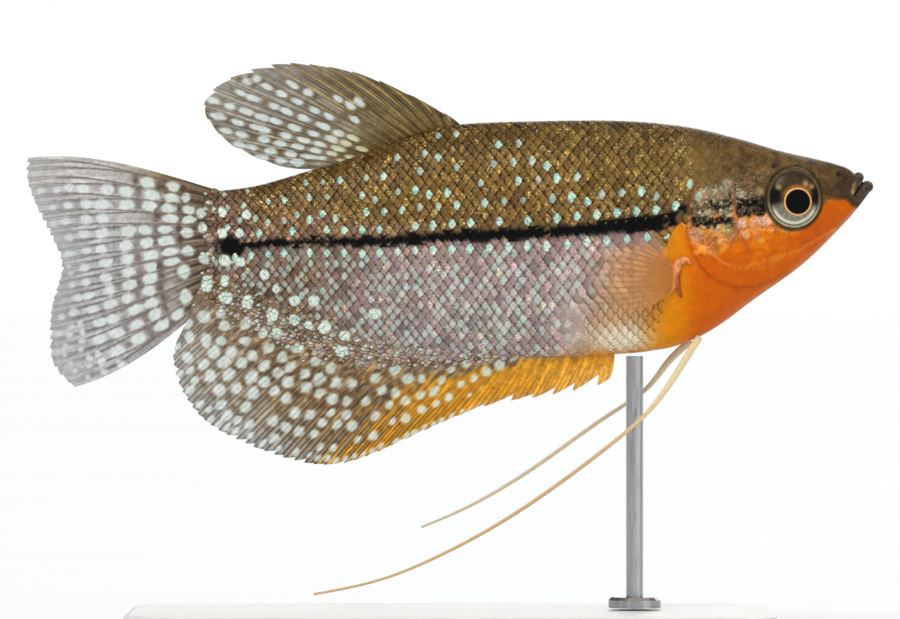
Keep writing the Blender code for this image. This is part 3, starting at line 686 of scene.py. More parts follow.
def tube(centres, radius_across, radius_up, sides):
    """Points and faces of a closed tube along centres."""
    centres = np.asarray(centres, float)
    count = len(centres)
    ahead = np.gradient(centres, axis=0)
    ahead /= np.linalg.norm(ahead, axis=1, keepdims=True)
    across = np.cross(ahead, (0, 0, 1.0))
    across /= np.linalg.norm(across, axis=1, keepdims=True)
    up = np.cross(across, ahead)
    turns = np.arange(sides) * math.tau / sides
    points = (centres[:, None] + across[:, None] * (np.cos(turns)[:, None] * np.reshape(radius_across, (-1, 1, 1)))
              + up[:, None] * (np.sin(turns)[:, None] * np.reshape(radius_up, (-1, 1, 1)))).reshape(-1, 3)
    ring = np.arange(sides)
    faces = []
    for i in range(count - 1):
        a, b = i * sides + ring, i * sides + (ring + 1) % sides
        faces += np.stack([a, b, b + sides, a + sides], 1).tolist()
    faces.append(list(range(sides)))
    faces.append(list(range(count * sides - sides, count * sides))[::-1])
    return points, faces


def lip_piece(name, sizes):
    x, z = sizes["centre"]
    share = np.linspace(0, 1, 41)
    turn = mix(-1.75, 1.75, share)
    front = np.cos(turn)
    centres = np.stack([x + sizes["reach"] * front, sizes["spread"] * np.sin(turn), z - sizes["drop"] * (1 - front)], 1)
    radius = sizes["thick"] * (0.6 + 0.4 * np.sin(math.pi * share))
    obj = build(name, *tube(centres, radius, radius, 20), smooth_faces=False)
    turn_outward(obj)
    return obj


def join_by_union(target, others):
    for other in others:
        modifier = target.modifiers.new("join", "BOOLEAN")
        modifier.operation = "UNION"
        modifier.solver = "EXACT"
        modifier.object = other
        graph = bpy.context.evaluated_depsgraph_get()
        mesh = bpy.data.meshes.new_from_object(target.evaluated_get(graph))
        target.modifiers.clear()
        target.data = mesh
        bpy.data.objects.remove(other, do_unlink=True)


def spaced(spans):
    """Steps along a line, each span with its own spacing."""
    return np.concatenate([np.arange(start, end, step) for start, end, step in spans])


def make_skin():
    stations = spaced([(SHEATH_END_X, 30.0, 0.45), (30.0, 40.6, 0.15), (40.6, 48.6, 0.08), (48.6, SNOUT_X, 0.12)])
    stations = np.append(stations, SNOUT_X)
    left = spaced([(0.0, 0.75, 0.045), (0.75, 2.0, 0.0115), (2.0, math.pi, 0.045)])
    turns = np.concatenate([left, math.tau - left[:0:-1]])
    around = len(turns)
    x, turn = np.meshgrid(stations, turns, indexing="ij")
    rows, ring = len(stations), np.arange(around)
    faces = []
    for i in range(rows - 1):
        a, b = i * around + ring, i * around + (ring + 1) % around
        faces += np.stack([a, a + around, b + around, b], 1).tolist()
    faces.append(ring.tolist())
    faces.append((ring + (rows - 1) * around)[::-1].tolist())
    skin = build("skin", section(x, turn).reshape(-1, 3), faces, smooth_faces=False)
    join_by_union(skin, [lip_piece(f"lip_{name}", sizes) for name, sizes in LIPS.items()])
    skin.data.shade_smooth()
    paint_skin(skin, *shape_skin(skin))
    finish_piece(skin, skin_material(), "skin", "head", "lower_jaw", "gill_cover_left", "gill_cover_right",
                 "trunk", "tail_base")


def shape_skin(skin):
    """Gives the skin its relief, draws it in round the eyes, and returns where its points end, in side view."""
    points = read_points(skin)
    x, y, z = points.T
    flank = smooth(0.25, 0.6, np.abs(read_normals(skin)[:, 1]))
    plain = -COAT_DEPTH * coat_share(*to_pixels(x, z))
    points += read_normals(skin) * mix(plain, relief(x, z), flank)[:, None]
    away = eye_share(x, z)
    outer = points[:, 1] * np.sign(y)
    inward = np.maximum(away, 0.1)
    edge_x, edge_z = (middle + (at - middle) * 0.94 / inward for middle, at in zip(EYE, (x, z)))
    brow = mix(outer, np.minimum(eye_surface(edge_x, edge_z), outer + 1.2) - 0.06, 0.8 * smooth(1.65, 1.0, away))
    brow = np.where(away < 0.97, np.minimum(brow, eye_surface(x, z) - 0.5), brow)
    near_eye = (away < 1.65) & (np.abs(y) > 0.6)
    points[:, 1] = np.where(near_eye, np.sign(y) * brow, points[:, 1])
    write_points(skin, points)
    return x, z


def paint_skin(skin, x, z):
    px, py = to_pixels(x, z)
    away = eye_share(x, z)
    colour = blend(body_colour(x, z), STRIPE_BLACK, STRIPE_DEPTH * stripe_share(x, z))
    # Painted shadow in the gill groove and the mouth, a partly painted highlight on the gill's inner ridge, and the
    # cheek ridge's own line.
    for path, shade, reach, depth in FOLD_COLOURS_AND_PAINTED_SHADE:
        colour = blend(colour, shade, depth * smooth(2 * reach, 0.4 * reach, away_from(path, x, z)[0]))
    lip = smooth(52.4, 52.8, x + 0.25 * (z - 7)) * smooth(5.2, 6.0, z)
    bare = smooth(-2, 6, py - GOLD_LINE(px)) * smooth(636, 662, px)
    cover = glint_share(px, py)
    quiet = bare * (1 - cover)
    veins = smooth(26, 10, oval(px, py, 762, 250, 1.7)) * bare
    cells = np.abs(grain(0.8 * x + 0.6 * z, 0.8 * z - 0.6 * x, 1.1, 27)
                   + grain(0.5 * x - 0.87 * z, 0.87 * x + 0.5 * z, 0.9, 28) - 1)
    colour = layered(
        colour,
        # A dark ring round the eye: partly the skin's own dark olive colour, partly painted shade where the skin meets
        # the eyeball.
        ([56, 44, 28], 0.85 * smooth(1.14, 1.04, away)),
        ([72, 60, 50], lip),
        ([112, 100, 88], lip * smooth(0.42, 0.7, grain(x, z, 0.35, 14)) * 0.6),
        ([168, 132, 96], 0.75 * smooth(0.32, 0.14, away_from(JAW_BAR, x, z)[0])),
        # Painted shade in the mouth's slit.
        ([18, 15, 13], smooth(0.15, 0.07, away_from(MOUTH_LINE, x, z)[0])),
        # Painted shade in the nostrils' pits.
        *(([40, 31, 22], 0.8 * smooth(1.1 * radius, 0.6 * radius, np.hypot(x - nx, z - nz)))
          for nx, nz, radius in NOSTRILS),
        ([226, 132, 14], 0.5 * veins * smooth(0.2, 0.5, cells)),
        ([182, 76, 0], 0.4 * veins * smooth(0.12, 0.02, cells)))
    speckle = grain(x, z, 0.9, 17) + 0.6 * grain(x, z, 0.33, 18)
    lively = mix(0.86, 1.14, smooth(0.4, 1.2, speckle)) * (1 - quiet) + mix(0.96, 1.04, speckle / 1.6) * quiet
    # Where the skin carries painted glints: over the gill cover, and in a fainter band over the brow.
    brow = smooth(26, 8, np.abs(py - 182)) * smooth(688, 704, px) * smooth(776, 758, px)
    glint = np.maximum(0.9 * cover * mix(1.0, 0.35, bare), 0.22 * brow)
    glint = glint * (1 - 0.75 * stripe_share(x, z)) * mix(1.0, 0.3, smooth(770, 800, px))
    paint(skin, colour * lively[:, None], Glint=glint * (1 - lip) * smooth(1.02, 1.12, away),
          Rough=mix(1.0, 0.28, quiet))


# Scales
SCALE_LENGTH = Line((-34, 0.98), (-20, 1.1), (0, 1.2), (15, 1.28), (28, 1.24), (42, 0.95))
SCALE_STEP = Line((-34, 0.62), (-10, 0.76), (10, 0.86), (28, 0.84), (42, 0.66))


class Girth:
    """Places on the flank by x and by distance along the skin up or down from the stripe."""

    def __init__(self):
        self.x = np.linspace(SHEATH_END_X - 0.5, 44.0, 240)
        self.away = np.linspace(-40, 30, 351)
        turns = np.linspace(0, math.pi, 361)
        self.turn = np.empty((len(self.x), len(self.away)))
        self.low = np.empty(len(self.x))
        self.high = np.empty(len(self.x))
        for i, x in enumerate(self.x):
            points = section(np.full(turns.shape, x), turns)
            length = np.concatenate([[0], np.cumsum(np.linalg.norm(np.diff(points, axis=0), axis=1))])
            stripe = (PIXEL_Y - STRIPE_LEVEL(x / PIXEL + PIXEL_X)) * PIXEL
            start = np.interp(-stripe, -points[:, 2], length)
            self.turn[i] = np.interp(start - self.away, length, turns)
            self.high[i] = start
            self.low[i] = start - length[-1]

    def turns(self, x, away):
        i = np.clip((x - self.x[0]) / (self.x[1] - self.x[0]), 0, len(self.x) - 1.001)
        j = np.clip((away - self.away[0]) / (self.away[1] - self.away[0]), 0, len(self.away) - 1.001)
        i0, j0 = i.astype(int), j.astype(int)
        a, b = i - i0, j - j0
        t = self.turn
        return ((1 - a) * (1 - b) * t[i0, j0] + a * (1 - b) * t[i0 + 1, j0] + (1 - a) * b * t[i0, j0 + 1]
                + a * b * t[i0 + 1, j0 + 1])

    def reach(self, x):
        return np.interp(x, self.x, self.low), np.interp(x, self.x, self.high)


def scale_places():
    """x and distance from the stripe of every scale on one flank, in rows offset by half a scale."""
    x_marks = [SHEATH_END_X]
    while x_marks[-1] < 41.0:
        x_marks.append(x_marks[-1] + float(SCALE_LENGTH(x_marks[-1])))
    x_marks = np.array(x_marks)
    found = []
    for row in range(-52, 36):
        xs = x_marks if row % 2 == 0 else (x_marks[:-1] + x_marks[1:]) / 2
        found.append(np.stack([xs, row * SCALE_STEP(xs), np.full(xs.shape, row)], 1))
    return np.concatenate(found)


PEARL_ROWS = {
    20: (3.8, 0.4, 0.6), 17: (3.0, 0.5, 0.7), 14: (2.6, 0.6, 0.8), 11: (2.3, 0.8, 0.9), 8: (2.3, 0.8, 0.95),
    5: (2.2, 0.95, 1.0), 2: (2.4, 1.0, 1.0),
    -2: (2.5, 0.95, 0.95), -4: (2.8, 0.6, 0.6), -6: (2.4, 0.65, 0.6), -8: (2.4, 0.6, 0.55), -10: (2.4, 0.6, 0.55),
    -12: (2.4, 0.6, 0.5), -14: (2.4, 0.6, 0.5), -16: (2.3, 0.6, 0.5), -18: (2.3, 0.6, 0.5), -20: (2.3, 0.6, 0.5),
    -22: (2.3, 0.6, 0.5), -24: (2.3, 0.6, 0.5),
}


def pearl_strength(x, row, z, rng):
    """How strongly each scale is a pearl: marks along rows of scales, brightest beside the stripe."""
    strength = np.zeros(len(x))
    px = to_pixels(x, z)[0]
    for number, (spacing, share, bright) in PEARL_ROWS.items():
        at = -34.0 + rng.uniform(0, spacing)
        while at < 36.0:
            near = (row == number) | ((row == number - 1) & (rng.random() < 0.3) & (number > 2))
            inside = np.flatnonzero(near)
            if len(inside) == 0:
                break
            nearest = inside[np.argmin(np.abs(x[inside] - at))]
            mark = px[nearest]
            if number > 2:
                front = mix(740, 610, smooth(3, 9, number)) - 9 * max(number - 9, 0)
                keep = smooth(front, front - 60, mark) * mix(1.0, share, smooth(200, 420, mark))
            elif number > 0:
                keep = smooth(712, 700, mark)
            elif number == -2:
                keep = smooth(694, 684, mark)
            else:
                keep = share * mix(1.0, 0.55, smooth(380, 520, mark)) * smooth(640, 560, mark)
            apart = 1.6 if number > 0 else 1.3
            crowded = (strength > 0.3) & (np.hypot(x - x[nearest], z - z[nearest]) < apart)
            if rng.random() < keep and not crowded.any():
                level = bright * mix(1.0, 0.8, smooth(400, 560, mark) * (number < -2))
                strength[nearest] = level * (rng.uniform(0.75, 1.0) if abs(number) <= 2 else rng.uniform(0.42, 1.0))
            at += spacing * mix(1.0, 0.78, smooth(-5, -25, at)) * rng.uniform(0.88, 1.14)
    hazy = (rng.random(len(x)) < 0.45) & (row < -2)
    strength = np.maximum(strength, hazy * rng.uniform(0.12, 0.5, len(x)) * smooth(620, 560, px))
    return strength * smooth(0.95, 1.5, big_pearls(x, z))


def pick(choices, share):
    choices = np.array(choices, float)
    return choices[(share * len(choices)).astype(int) % len(choices)]


def scale_colours(x, z, rng):
    """A colour for each scale, how dark its outline is, and how strongly it carries painted glints."""
    px, py = to_pixels(x, z)
    count = len(x)
    soft = smooth_share(px, py)
    colour = body_colour(x, z) * (1 + rng.normal(0, 0.11, count) * (1 - 0.85 * soft))[:, None]
    hue = rng.random(count)
    below = smooth(-2, 6, py - STRIPE_LEVEL(px)) * smooth(690, 640, px)
    above = (1 - below) * smooth(760, 700, px)
    belly = np.maximum(smooth(540, 640, px + 0.5 * (py - 290)) * below, soft)
    gold = smooth(-3, 4, py - GOLD_LINE(px)) * smooth(648, 690, px + 0.12 * (py - 290))
    lilac = pick([[168, 146, 164], [164, 172, 158], [172, 148, 146], [160, 158, 164]], hue)
    colour = blend(colour, lilac, below * (1 - belly) * rng.uniform(0.1, 0.5, count))
    near = smooth(34, 8, np.abs(STRIPE_LEVEL(px) - py)) * smooth(520, 300, px)
    bronze = pick([[150, 120, 56], [120, 92, 60], [142, 112, 78], [112, 86, 42]], hue)
    colour = blend(colour, bronze, above * smooth(225, 280, px) * rng.uniform(0.05, 0.45, count))
    colour = blend(colour, pick([[146, 126, 146], [134, 104, 96], [140, 118, 122]], hue),
                   above * near * rng.uniform(0.1, 0.7, count))
    line = mix(0.95, 0.72, below) * (1 - 0.75 * belly) * (1 - 0.8 * gold) * (1 - 0.9 * soft)
    line = line * mix(1.0, 0.5, smooth(34, 8, py - to_pixels(x, BACK(x))[1]) * smooth(430, 560, px))
    line = line * mix(0.25, 1.0, smooth(0.3, 1.0, coat_share(px, py))) * mix(1.0, 0.55, smooth(600, 720, px) * above)
    # How strongly each scale carries painted glints, mostly above the stripe.
    spark = (rng.random(count) < mix(0.35, 0.9, above)) * rng.uniform(0.1, 1.0, count) ** 1.5 * (1 - belly) * (1 - gold)
    return colour, line, spark


SCALE_RING = 16
SCALE_POINTS = 2 * SCALE_RING + 2
SCALE_TURNS = np.arange(SCALE_RING) * math.tau / SCALE_RING
BAKE_PATCH = 0.0015


def scale_pattern():
    """Faces of one scale: a domed top of two rings about its middle, and a bottom that meets below."""
    ring = np.arange(SCALE_RING)
    following = (ring + 1) % SCALE_RING
    inner, rim = 1 + ring, 1 + SCALE_RING + ring
    inner_next, rim_next = 1 + following, 1 + SCALE_RING + following
    bottom, centre = np.full(SCALE_RING, 2 * SCALE_RING + 1), np.zeros(SCALE_RING, int)
    return np.concatenate([
        np.stack([centre, inner, inner_next], 1), np.stack([inner, rim, rim_next], 1),
        np.stack([inner, rim_next, inner_next], 1), np.stack([bottom, rim_next, rim], 1)])


SCALE_FACES = scale_pattern()


def scale_outline(rim, *heights):
    """Radius, reach back, reach up and height of a scale's points: its middle, two rings and the point below."""
    radius = np.concatenate([[0], 0.6 * rim, rim, [0]])
    angle = np.concatenate([[0], SCALE_TURNS, SCALE_TURNS, [0]])
    return radius, radius * np.cos(angle), radius * np.sin(angle), np.repeat(heights, (1, SCALE_RING, SCALE_RING, 1))


def scale_faces(count, side):
    """Faces of a number of scales that lie on the given side."""
    pattern = SCALE_FACES[:, ::-1] if side > 0 else SCALE_FACES
    return (pattern[None] + (np.arange(count) * SCALE_POINTS)[:, None, None]).reshape(-1, 3)


def write_bake(obj, x, around, back, up):
    """A UV map in which each scale is a small patch at its place along and round the body."""
    corners = np.empty(len(obj.data.loops), np.int32)
    obj.data.loops.foreach_get("vertex_index", corners)
    root = (x - SHEATH_END_X) / (SNOUT_X - SHEATH_END_X)
    u = (root[:, None] - BAKE_PATCH * back).reshape(-1)
    v = (around[:, None] + BAKE_PATCH * up).reshape(-1)
    bake = obj.data.uv_layers.new(name="OFBake")
    bake.data.foreach_set("uv", np.stack([u[corners], v[corners]], 1).astype(np.float32).ravel())


def make_scales():
    rng = np.random.default_rng(11)
    girth = Girth()
    material = scale_material()
    places = scale_places()
    pointed = (np.abs(np.cos(SCALE_TURNS)) ** 1.85 + np.abs(np.sin(SCALE_TURNS)) ** 1.85) ** (-1 / 1.85)
    radius, back, up, dome = scale_outline(pointed, 0.045, 0.035, 0.0, -0.05)
    for word, side in SIDES.items():
        x, away, row = places.T
        low, high = girth.reach(x)
        turn = girth.turns(x, away)
        z = section(x, turn)[:, 2]
        seen_x = x - 0.5 * SCALE_LENGTH(x)
        cover = coat_share(*to_pixels(seen_x, z))
        keep = (away > low - 0.1) & (away < high + 0.1) & (cover > 0.12)
        keep &= away_from(GILL_REAR_EDGE, seen_x, z)[0] > 0.3
        keep &= seen_x > SHEATH_END_X + 1.2 * rng.random(len(x))
        x, away, row, z, turn, seen_x, cover = (a[keep] for a in (x, away, row, z, turn, seen_x, cover))
        pearl = pearl_strength(seen_x, row, z, rng)
        colour, line, spark = scale_colours(seen_x, z, rng)
        soft = smooth_share(*to_pixels(seen_x, z))
        loose = 0.18 * smooth(1.0, 0.7, cover) + 0.035
        small = mix(0.6, 1.0, smooth(0.1, 0.7, cover)) * rng.uniform(0.97, 1.05, len(x))
        length, step = SCALE_LENGTH(x) * 1.04 * small, SCALE_STEP(x) * 1.72 * small
        at_x = x[:, None] - back * length[:, None] + (rng.normal(0, 1, len(x)) * loose)[:, None]
        at_away = away[:, None] + up * step[:, None] + (rng.normal(0, 1, len(x)) * loose)[:, None]
        at_turn = girth.turns(at_x, at_away)
        proud = (-0.14 + 0.1 * (1 + back) / 2 + dome)[None]
        sunk = (-0.105 + 0.016 * (1 + back) / 2 + 0.07 * dome)[None]
        lift = mix(proud, sunk, soft[:, None]) - 0.04 * (1 - cover)[:, None]
        surface = section(at_x, at_turn)
        dark = stripe_share(at_x, surface[..., 2], rng.normal(0, 1.3, len(x))[:, None]) * (pearl < 0.3)[:, None]
        spot = np.minimum(big_pearls(at_x, surface[..., 2]) / 2, 1)
        dark = dark * smooth(0.4, 0.54, spot)
        points = surface + skin_normal(at_x, at_turn) * lift[..., None]
        points[..., 1] *= side
        shades = colour[:, None, :] * np.where(radius < 0.3, 1.06, 1.0)[None, :, None]
        shades = blend(shades, STRIPE_BLACK, STRIPE_DEPTH * dark)
        around = turn / math.tau if side > 0 else 1 - turn / math.tau
        upper = away > 0
        for part, chosen in (("upper", upper), ("lower", ~upper)):
            number = int(chosen.sum())
            obj = build(f"scales_{word}_{part}", points[chosen].reshape(-1, 3), scale_faces(number, side))
            pearls, lines, sparks = (np.repeat(a[chosen], SCALE_POINTS) for a in (pearl, line, spark))
            light = 1 - dark[chosen].ravel()
            paint(obj, shades[chosen].reshape(-1, 3), Back=np.tile(back, number), Up=np.tile(up, number),
                  Pearl=pearls, Line=lines * light, Spark=sparks * light, Spot=spot[chosen].ravel())
            write_bake(obj, x[chosen], around[chosen], back, up)
            crisp = np.ones((number, len(SCALE_FACES)), bool)
            crisp[:, -SCALE_RING:] = (soft[chosen] < 0.4)[:, None]
            obj.data.polygons.foreach_set("use_smooth", crisp.ravel())
            finish_piece(obj, material, "skin")


# Fins, as in the part's source
DORSAL_ROOT = (0.6, -13.8)
DORSAL_TIP = Path((0, 0.3, 15.5), (0.08, -4.9, 18.65), (0.16, -9.8, 21.0), (0.3, -16.8, 22.7), (0.43, -21.9, 23.0),
                  (0.54, -26.5, 22.0), (0.62, -29.8, 20.4), (0.71, -32.0, 17.8), (0.8, -31.1, 15.1),
                  (0.9, -28.0, 12.1), (1, -23.0, 9.9))
ANAL_ROOT = (21.5, -31.4)
ANAL_TIP = Path((0, 20.6, -18.6), (0.06, 15.9, -19.6), (0.145, 10.7, -20.5), (0.23, 4.0, -21.8),
                (0.347, -8.2, -27.0), (0.448, -15.3, -29.2), (0.6, -24.7, -27.2), (0.714, -31.0, -24.1),
                (0.808, -34.4, -20.3), (0.9, -36.0, -15.2), (1, -34.1, -10.8))
CAUDAL_ROOT = (6.5, -7.3)
CAUDAL_TIP = Path((0, -54.9, 10.7), (0.06, -55.1, 8.9), (0.2, -53.8, 4.5), (0.36, -51.6, 0.0), (0.46, -50.5, -2.9),
                  (0.62, -51.5, -7.5), (0.78, -52.0, -12.2), (0.93, -50.9, -17.1), (1, -48.8, -19.1))
PECTORAL_X = 29.0
PECTORAL_ROOT = (-2.8, -7.0)
PECTORAL_TIP = Path((0, 22.8, -0.2), (0.25, 19.8, -1.8), (0.5, 18.4, -4.4), (0.75, 18.9, -7.0), (1, 21.6, -9.2))
PECTORAL_SPLAY = 2.8
SUNK = 0.9


class Fin:
    """A fin as a fine sheet: rays that fork twice towards the edge stand out on a thin membrane."""

    def __init__(self, name, rays, columns, rows, root, tip, bow, sway, teeth=0.35, front_teeth=0.0, steps=2,
                 membrane=(0.2, 0.06), ridge=(0.16, 0.07), fillet=lambda x, z: 0 * x, forks=1.0, twigs=1.0,
                 spines=0.0, fork_at=(0.2, 0.65), broad=0.0):
        self.name, self.rays = name, rays
        u = np.linspace(0, 1, rays * columns + 1)
        v = np.linspace(0, 1, rows + 1)
        self.shape = len(v), len(u)
        self.v, self.u = np.meshgrid(v, u, indexing="ij")
        share = self.u * rays
        self.across = share - np.floor(np.clip(share, 0, rays - 1e-6)) - 0.5
        start, end = root(self.u), tip(self.u)
        ahead = end - start[..., ::2]
        self.length = np.hypot(ahead[..., 0], ahead[..., 1])
        phase = steps * np.where(self.u < broad, 0.5 * share, share - 0.5 * broad * rays) + 0.5
        tooth = mix(0.3, 1.4, chance(np.floor(phase), 0, rays))
        proud = (teeth * tooth + front_teeth * np.clip(1 - self.u / 0.25, 0, 1)) * self.v**3
        notch = (1 - phase % 1) ** 1.6
        reach = self.v * (1 - proud * notch / np.maximum(self.length, 1))
        lift = mix(bow[0], bow[1], self.u) * 4 * self.v * (1 - self.v) * (0.6 + 0.8 * self.v)
        x = start[..., 0] + ahead[..., 0] * reach + ahead[..., 1] / self.length * lift
        z = start[..., 2] + ahead[..., 1] * reach - ahead[..., 0] / self.length * lift
        y = start[..., 1] + sway(self.u, self.v) + 0.12 * self.v * np.sin(share * 2.1 + 4 * self.v)
        self.middle, self.x, self.z = np.stack([x, y, z], -1), x, z
        self.gap = np.linalg.norm(np.gradient(self.middle, axis=1), axis=-1) * columns
        fork, twig = 0.21 * forks * smooth(*fork_at, self.v), 0.09 * twigs * smooth(0.55, 0.95, self.v)
        away = np.abs(np.abs(np.abs(self.across) - fork) - twig) * self.gap
        self.strand = np.exp(-((away / 0.095) ** 2))
        self.core = np.exp(-((self.across * self.gap / 0.09) ** 2)) * smooth(0.7, 0.3, self.v)
        self.half = mix(*membrane, self.v) + mix(*ridge, self.v) * np.exp(-((away / 0.17) ** 2))
        self.spine = spines * smooth(0.6, 0.35, self.u) * np.exp(-((self.across * self.gap / 0.34) ** 2))
        self.half = self.half + fillet(x, z) + 0.16 * self.spine * smooth(1.05, 0.7, self.v)
        self.streaks = grain(share * 3.0, self.v * self.length / 2.2, 1.0, 41)
        self.beads = smooth(0.3, 0.7, grain(share * 3.6, self.v * self.length / 0.7, 1.0, 45))

    def at(self, u, v, values=None):
        """The middle surface, or other values of the fin, at any place on it."""
        values = self.middle if values is None else values
        rows, columns = self.shape
        i, j = np.clip(v, 0, 1) * (rows - 1), np.clip(u, 0, 1) * (columns - 1)
        i0, j0 = np.minimum(np.floor(i), rows - 2).astype(int), np.minimum(np.floor(j), columns - 2).astype(int)
        a, b = i - i0, j - j0
        if values.ndim == 3:
            a, b = a[..., None], b[..., None]
        low = mix(values[i0, j0], values[i0, j0 + 1], b)
        return mix(low, mix(values[i0 + 1, j0], values[i0 + 1, j0 + 1], b), a)

    def bands(self, distances, size, seed, wide_gap=2.05):
        """Spots between the rays at set distances from the root, two to a gap where it is wide."""
        rng = np.random.default_rng(seed)
        found = []
        for distance in distances:
            for band in range(self.rays + 1):
                u = band / self.rays
                length = float(self.at(np.array(u), np.array(0.5), self.length))
                v = (distance + rng.normal(0, 0.3)) / length
                if v > 0.97 or rng.random() < 0.02:
                    continue
                gap = float(self.at(np.array(u), np.array(v), self.gap))
                pair = (-0.24, 0.24) if gap > wide_gap else (0.0,)
                for shift in pair:
                    place_u = u + shift / self.rays + rng.normal(0, 0.03) / self.rays
                    apart = 0.9 if len(pair) == 1 else 0.7
                    if not 0.005 < place_u < 0.995 or not self.free(found, place_u, v, apart):
                        continue
                    wide = min(size[1], (0.42 if len(pair) == 1 else 0.21) * gap) * rng.uniform(0.8, 1.1)
                    long = size[0] * (1.0 if len(pair) == 1 else 0.66) * rng.uniform(0.8, 1.15)
                    found.append((place_u, v + rng.normal(0, 0.1) * len(pair) / length, long, wide))
        return found

    def rows_inside(self, distances, spacing, size, seed, found=(), apart=1.72, reach=(0.02, 0.98)):
        """Spots in rows that run a set distance inside the edge."""
        rng = np.random.default_rng(seed)
        found = list(found)
        u = np.linspace(reach[0], reach[1], 400)
        for distance in distances:
            length = self.at(u, np.full(u.shape, 0.5), self.length)
            v = 1 - distance / length
            line = self.at(u, v)
            steps = np.linalg.norm(np.diff(line, axis=0), axis=1)
            along = np.concatenate([[0], np.cumsum(np.minimum(steps, 0.3))])
            mark = spacing * rng.uniform(0.2, 0.8)
            while mark < along[-1]:
                here = float(np.interp(mark, along, u))
                at_v = float(np.interp(mark, along, v)) + rng.normal(0, 0.012)
                if at_v > 0.05 and rng.random() > 0.04 and self.free(found, here, at_v, apart):
                    grow = rng.uniform(0.82, 1.12) * mix(0.84, 1.12, smooth(0.35, 0.75, here)) * mix(1.1, 0.9, at_v)
                    found.append((here, at_v, size[0] * grow, size[1] * grow * rng.uniform(0.85, 1.15)))
                mark += spacing * rng.uniform(0.85, 1.15)
        return found

    def free(self, found, u, v, apart):
        """Whether a place keeps clear of the spots found so far and of the big pearls."""
        here = self.at(np.array(u), np.array(min(max(v, 0), 1)))
        if big_pearls(here[0], here[2]) < 1.9:
            return False
        for other in found:
            there = self.at(np.array(other[0]), np.array(other[1]))
            if np.hypot(here[0] - there[0], here[2] - there[2]) < apart:
                return False
        return True

    def cover(self, spots, seed):
        """How far each point is from the nearest spot's middle, in shares of its size, and the dark beside spots."""
        nearest, patches = np.full(self.shape, 99.0), np.zeros(self.shape)
        for u, v, long, wide in spots:
            u, v = np.array(u), np.array(v)
            here = self.at(u, v)
            ahead = self.at(u, np.minimum(v + 0.04, 1)) - self.at(u, v - 0.04)
            ahead = ahead[::2] / np.hypot(ahead[0], ahead[2])
            right, up = self.x - here[0], self.z - here[2]
            lengthwise = (right * ahead[0] + up * ahead[1]) / long
            crosswise = (right * ahead[1] - up * ahead[0]) / wide
            nearest = np.minimum(nearest, lengthwise**2 + crosswise**2)
            patch = np.exp(-(((np.abs(lengthwise) - 1.5) / 0.45) ** 2) - crosswise**4)
            patches = np.maximum(patches, patch)
        nearest = np.sqrt(nearest) * (1 + 0.4 * (grain(self.x, self.z, 0.45, seed) - 0.5))
        return np.minimum(nearest, big_pearls(self.x, self.z)), patches

    def make(self, colour, cover, material, *replaced):
        """Builds both faces and the rim, and paints them."""
        rows, columns = self.shape
        near, far = self.middle.copy(), self.middle.copy()
        near[..., 1] -= self.half
        far[..., 1] += self.half
        points = np.concatenate([near.reshape(-1, 3), far.reshape(-1, 3)])
        index = np.arange(rows * columns).reshape(rows, columns)
        quad = np.stack([index[:-1, :-1], index[:-1, 1:], index[1:, 1:], index[1:, :-1]], -1).reshape(-1, 4)
        shift = rows * columns
        loop = np.concatenate([index[0, :-1], index[:-1, -1], index[-1, :0:-1], index[:0:-1, 0]])
        following = np.roll(loop, -1)
        rim = np.stack([following, loop, loop + shift, following + shift], 1)
        obj = build(self.name, points, np.concatenate([quad, quad[:, ::-1] + shift, rim]))
        turn_outward(obj)
        both = np.concatenate([colour.reshape(-1, 3)] * 2)
        paint(obj, both, Cover=np.concatenate([np.broadcast_to(cover, self.shape).reshape(-1)] * 2))
        finish_piece(obj, material, "fin", *replaced)


def shaded(first, second, share):
    return blend(np.broadcast_to(np.array(first, float), np.shape(share) + (3,)), second, share)


def dressed(fin, membrane, line, core, away, patches, pearl, halo):
    """A fin's colours: membrane, thin dark strands with a paler core, and pale spots with dark patches beside them."""
    spot = smooth(1.15, 0.62, away)
    around = np.maximum(patches, 0.3 * smooth(1.7, 1.1, away)) * (1 - spot)
    colour = membrane * mix(0.82, 1.14, fin.streaks)[..., None]
    dark_patch = smooth(0.45, 0.7, grain(fin.x, fin.z, 1.1, 47))
    colour = layered(
        colour,
        (halo[0], halo[1] * around * (0.6 + 0.4 * dark_patch)),
        (core, 0.75 * fin.core * (1 - spot) * mix(0.25, 1.0, fin.beads)),
        (line, 0.95 * fin.strand * (1 - 0.6 * spot) * (1 - 0.6 * fin.core)))
    fleck = grain(fin.x, fin.z, 0.28, 43)
    return blend(colour * mix(0.88, 1.1, fleck)[..., None], pearl * mix(0.94, 1.04, fleck)[..., None],
                 0.92 * spot * (1 - 0.35 * fin.strand))


def sheath_places(fin, reach, rng):
    """Where the small scales over a fin's base lie: shares across and along the fin, depth and middle."""
    u_marks, v_marks = [], []
    for row in range(16):
        distance = 0.4 + 0.5 * row
        u = np.linspace(0.0, 1.0, 900)
        line = fin.at(u, distance / fin.at(u, np.full(u.shape, 0.5), fin.length))
        along = np.concatenate([[0], np.cumsum(np.linalg.norm(np.diff(line, axis=0), axis=1))])
        marks = np.arange(0.34 * (row % 2) + 0.2, along[-1], 0.68)
        u = np.interp(marks + rng.normal(0, 0.1, len(marks)), along, u)
        u_marks.append(u)
        v_marks.append((distance + rng.normal(0, 0.09, len(u))) / fin.at(u, np.full(u.shape, 0.5), fin.length))
    u, v = np.concatenate(u_marks), np.concatenate(v_marks)
    depth = v * fin.at(u, v, fin.length)
    centre = fin.at(u, v)
    ends = np.maximum(reach(to_pixels(centre[:, 0], 0)[0]), 0.01)
    keep = (rng.random(len(u)) < smooth(1.0, 0.35, depth / ends)) & (v < 0.6)
    return u[keep], v[keep], depth[keep], centre[keep]


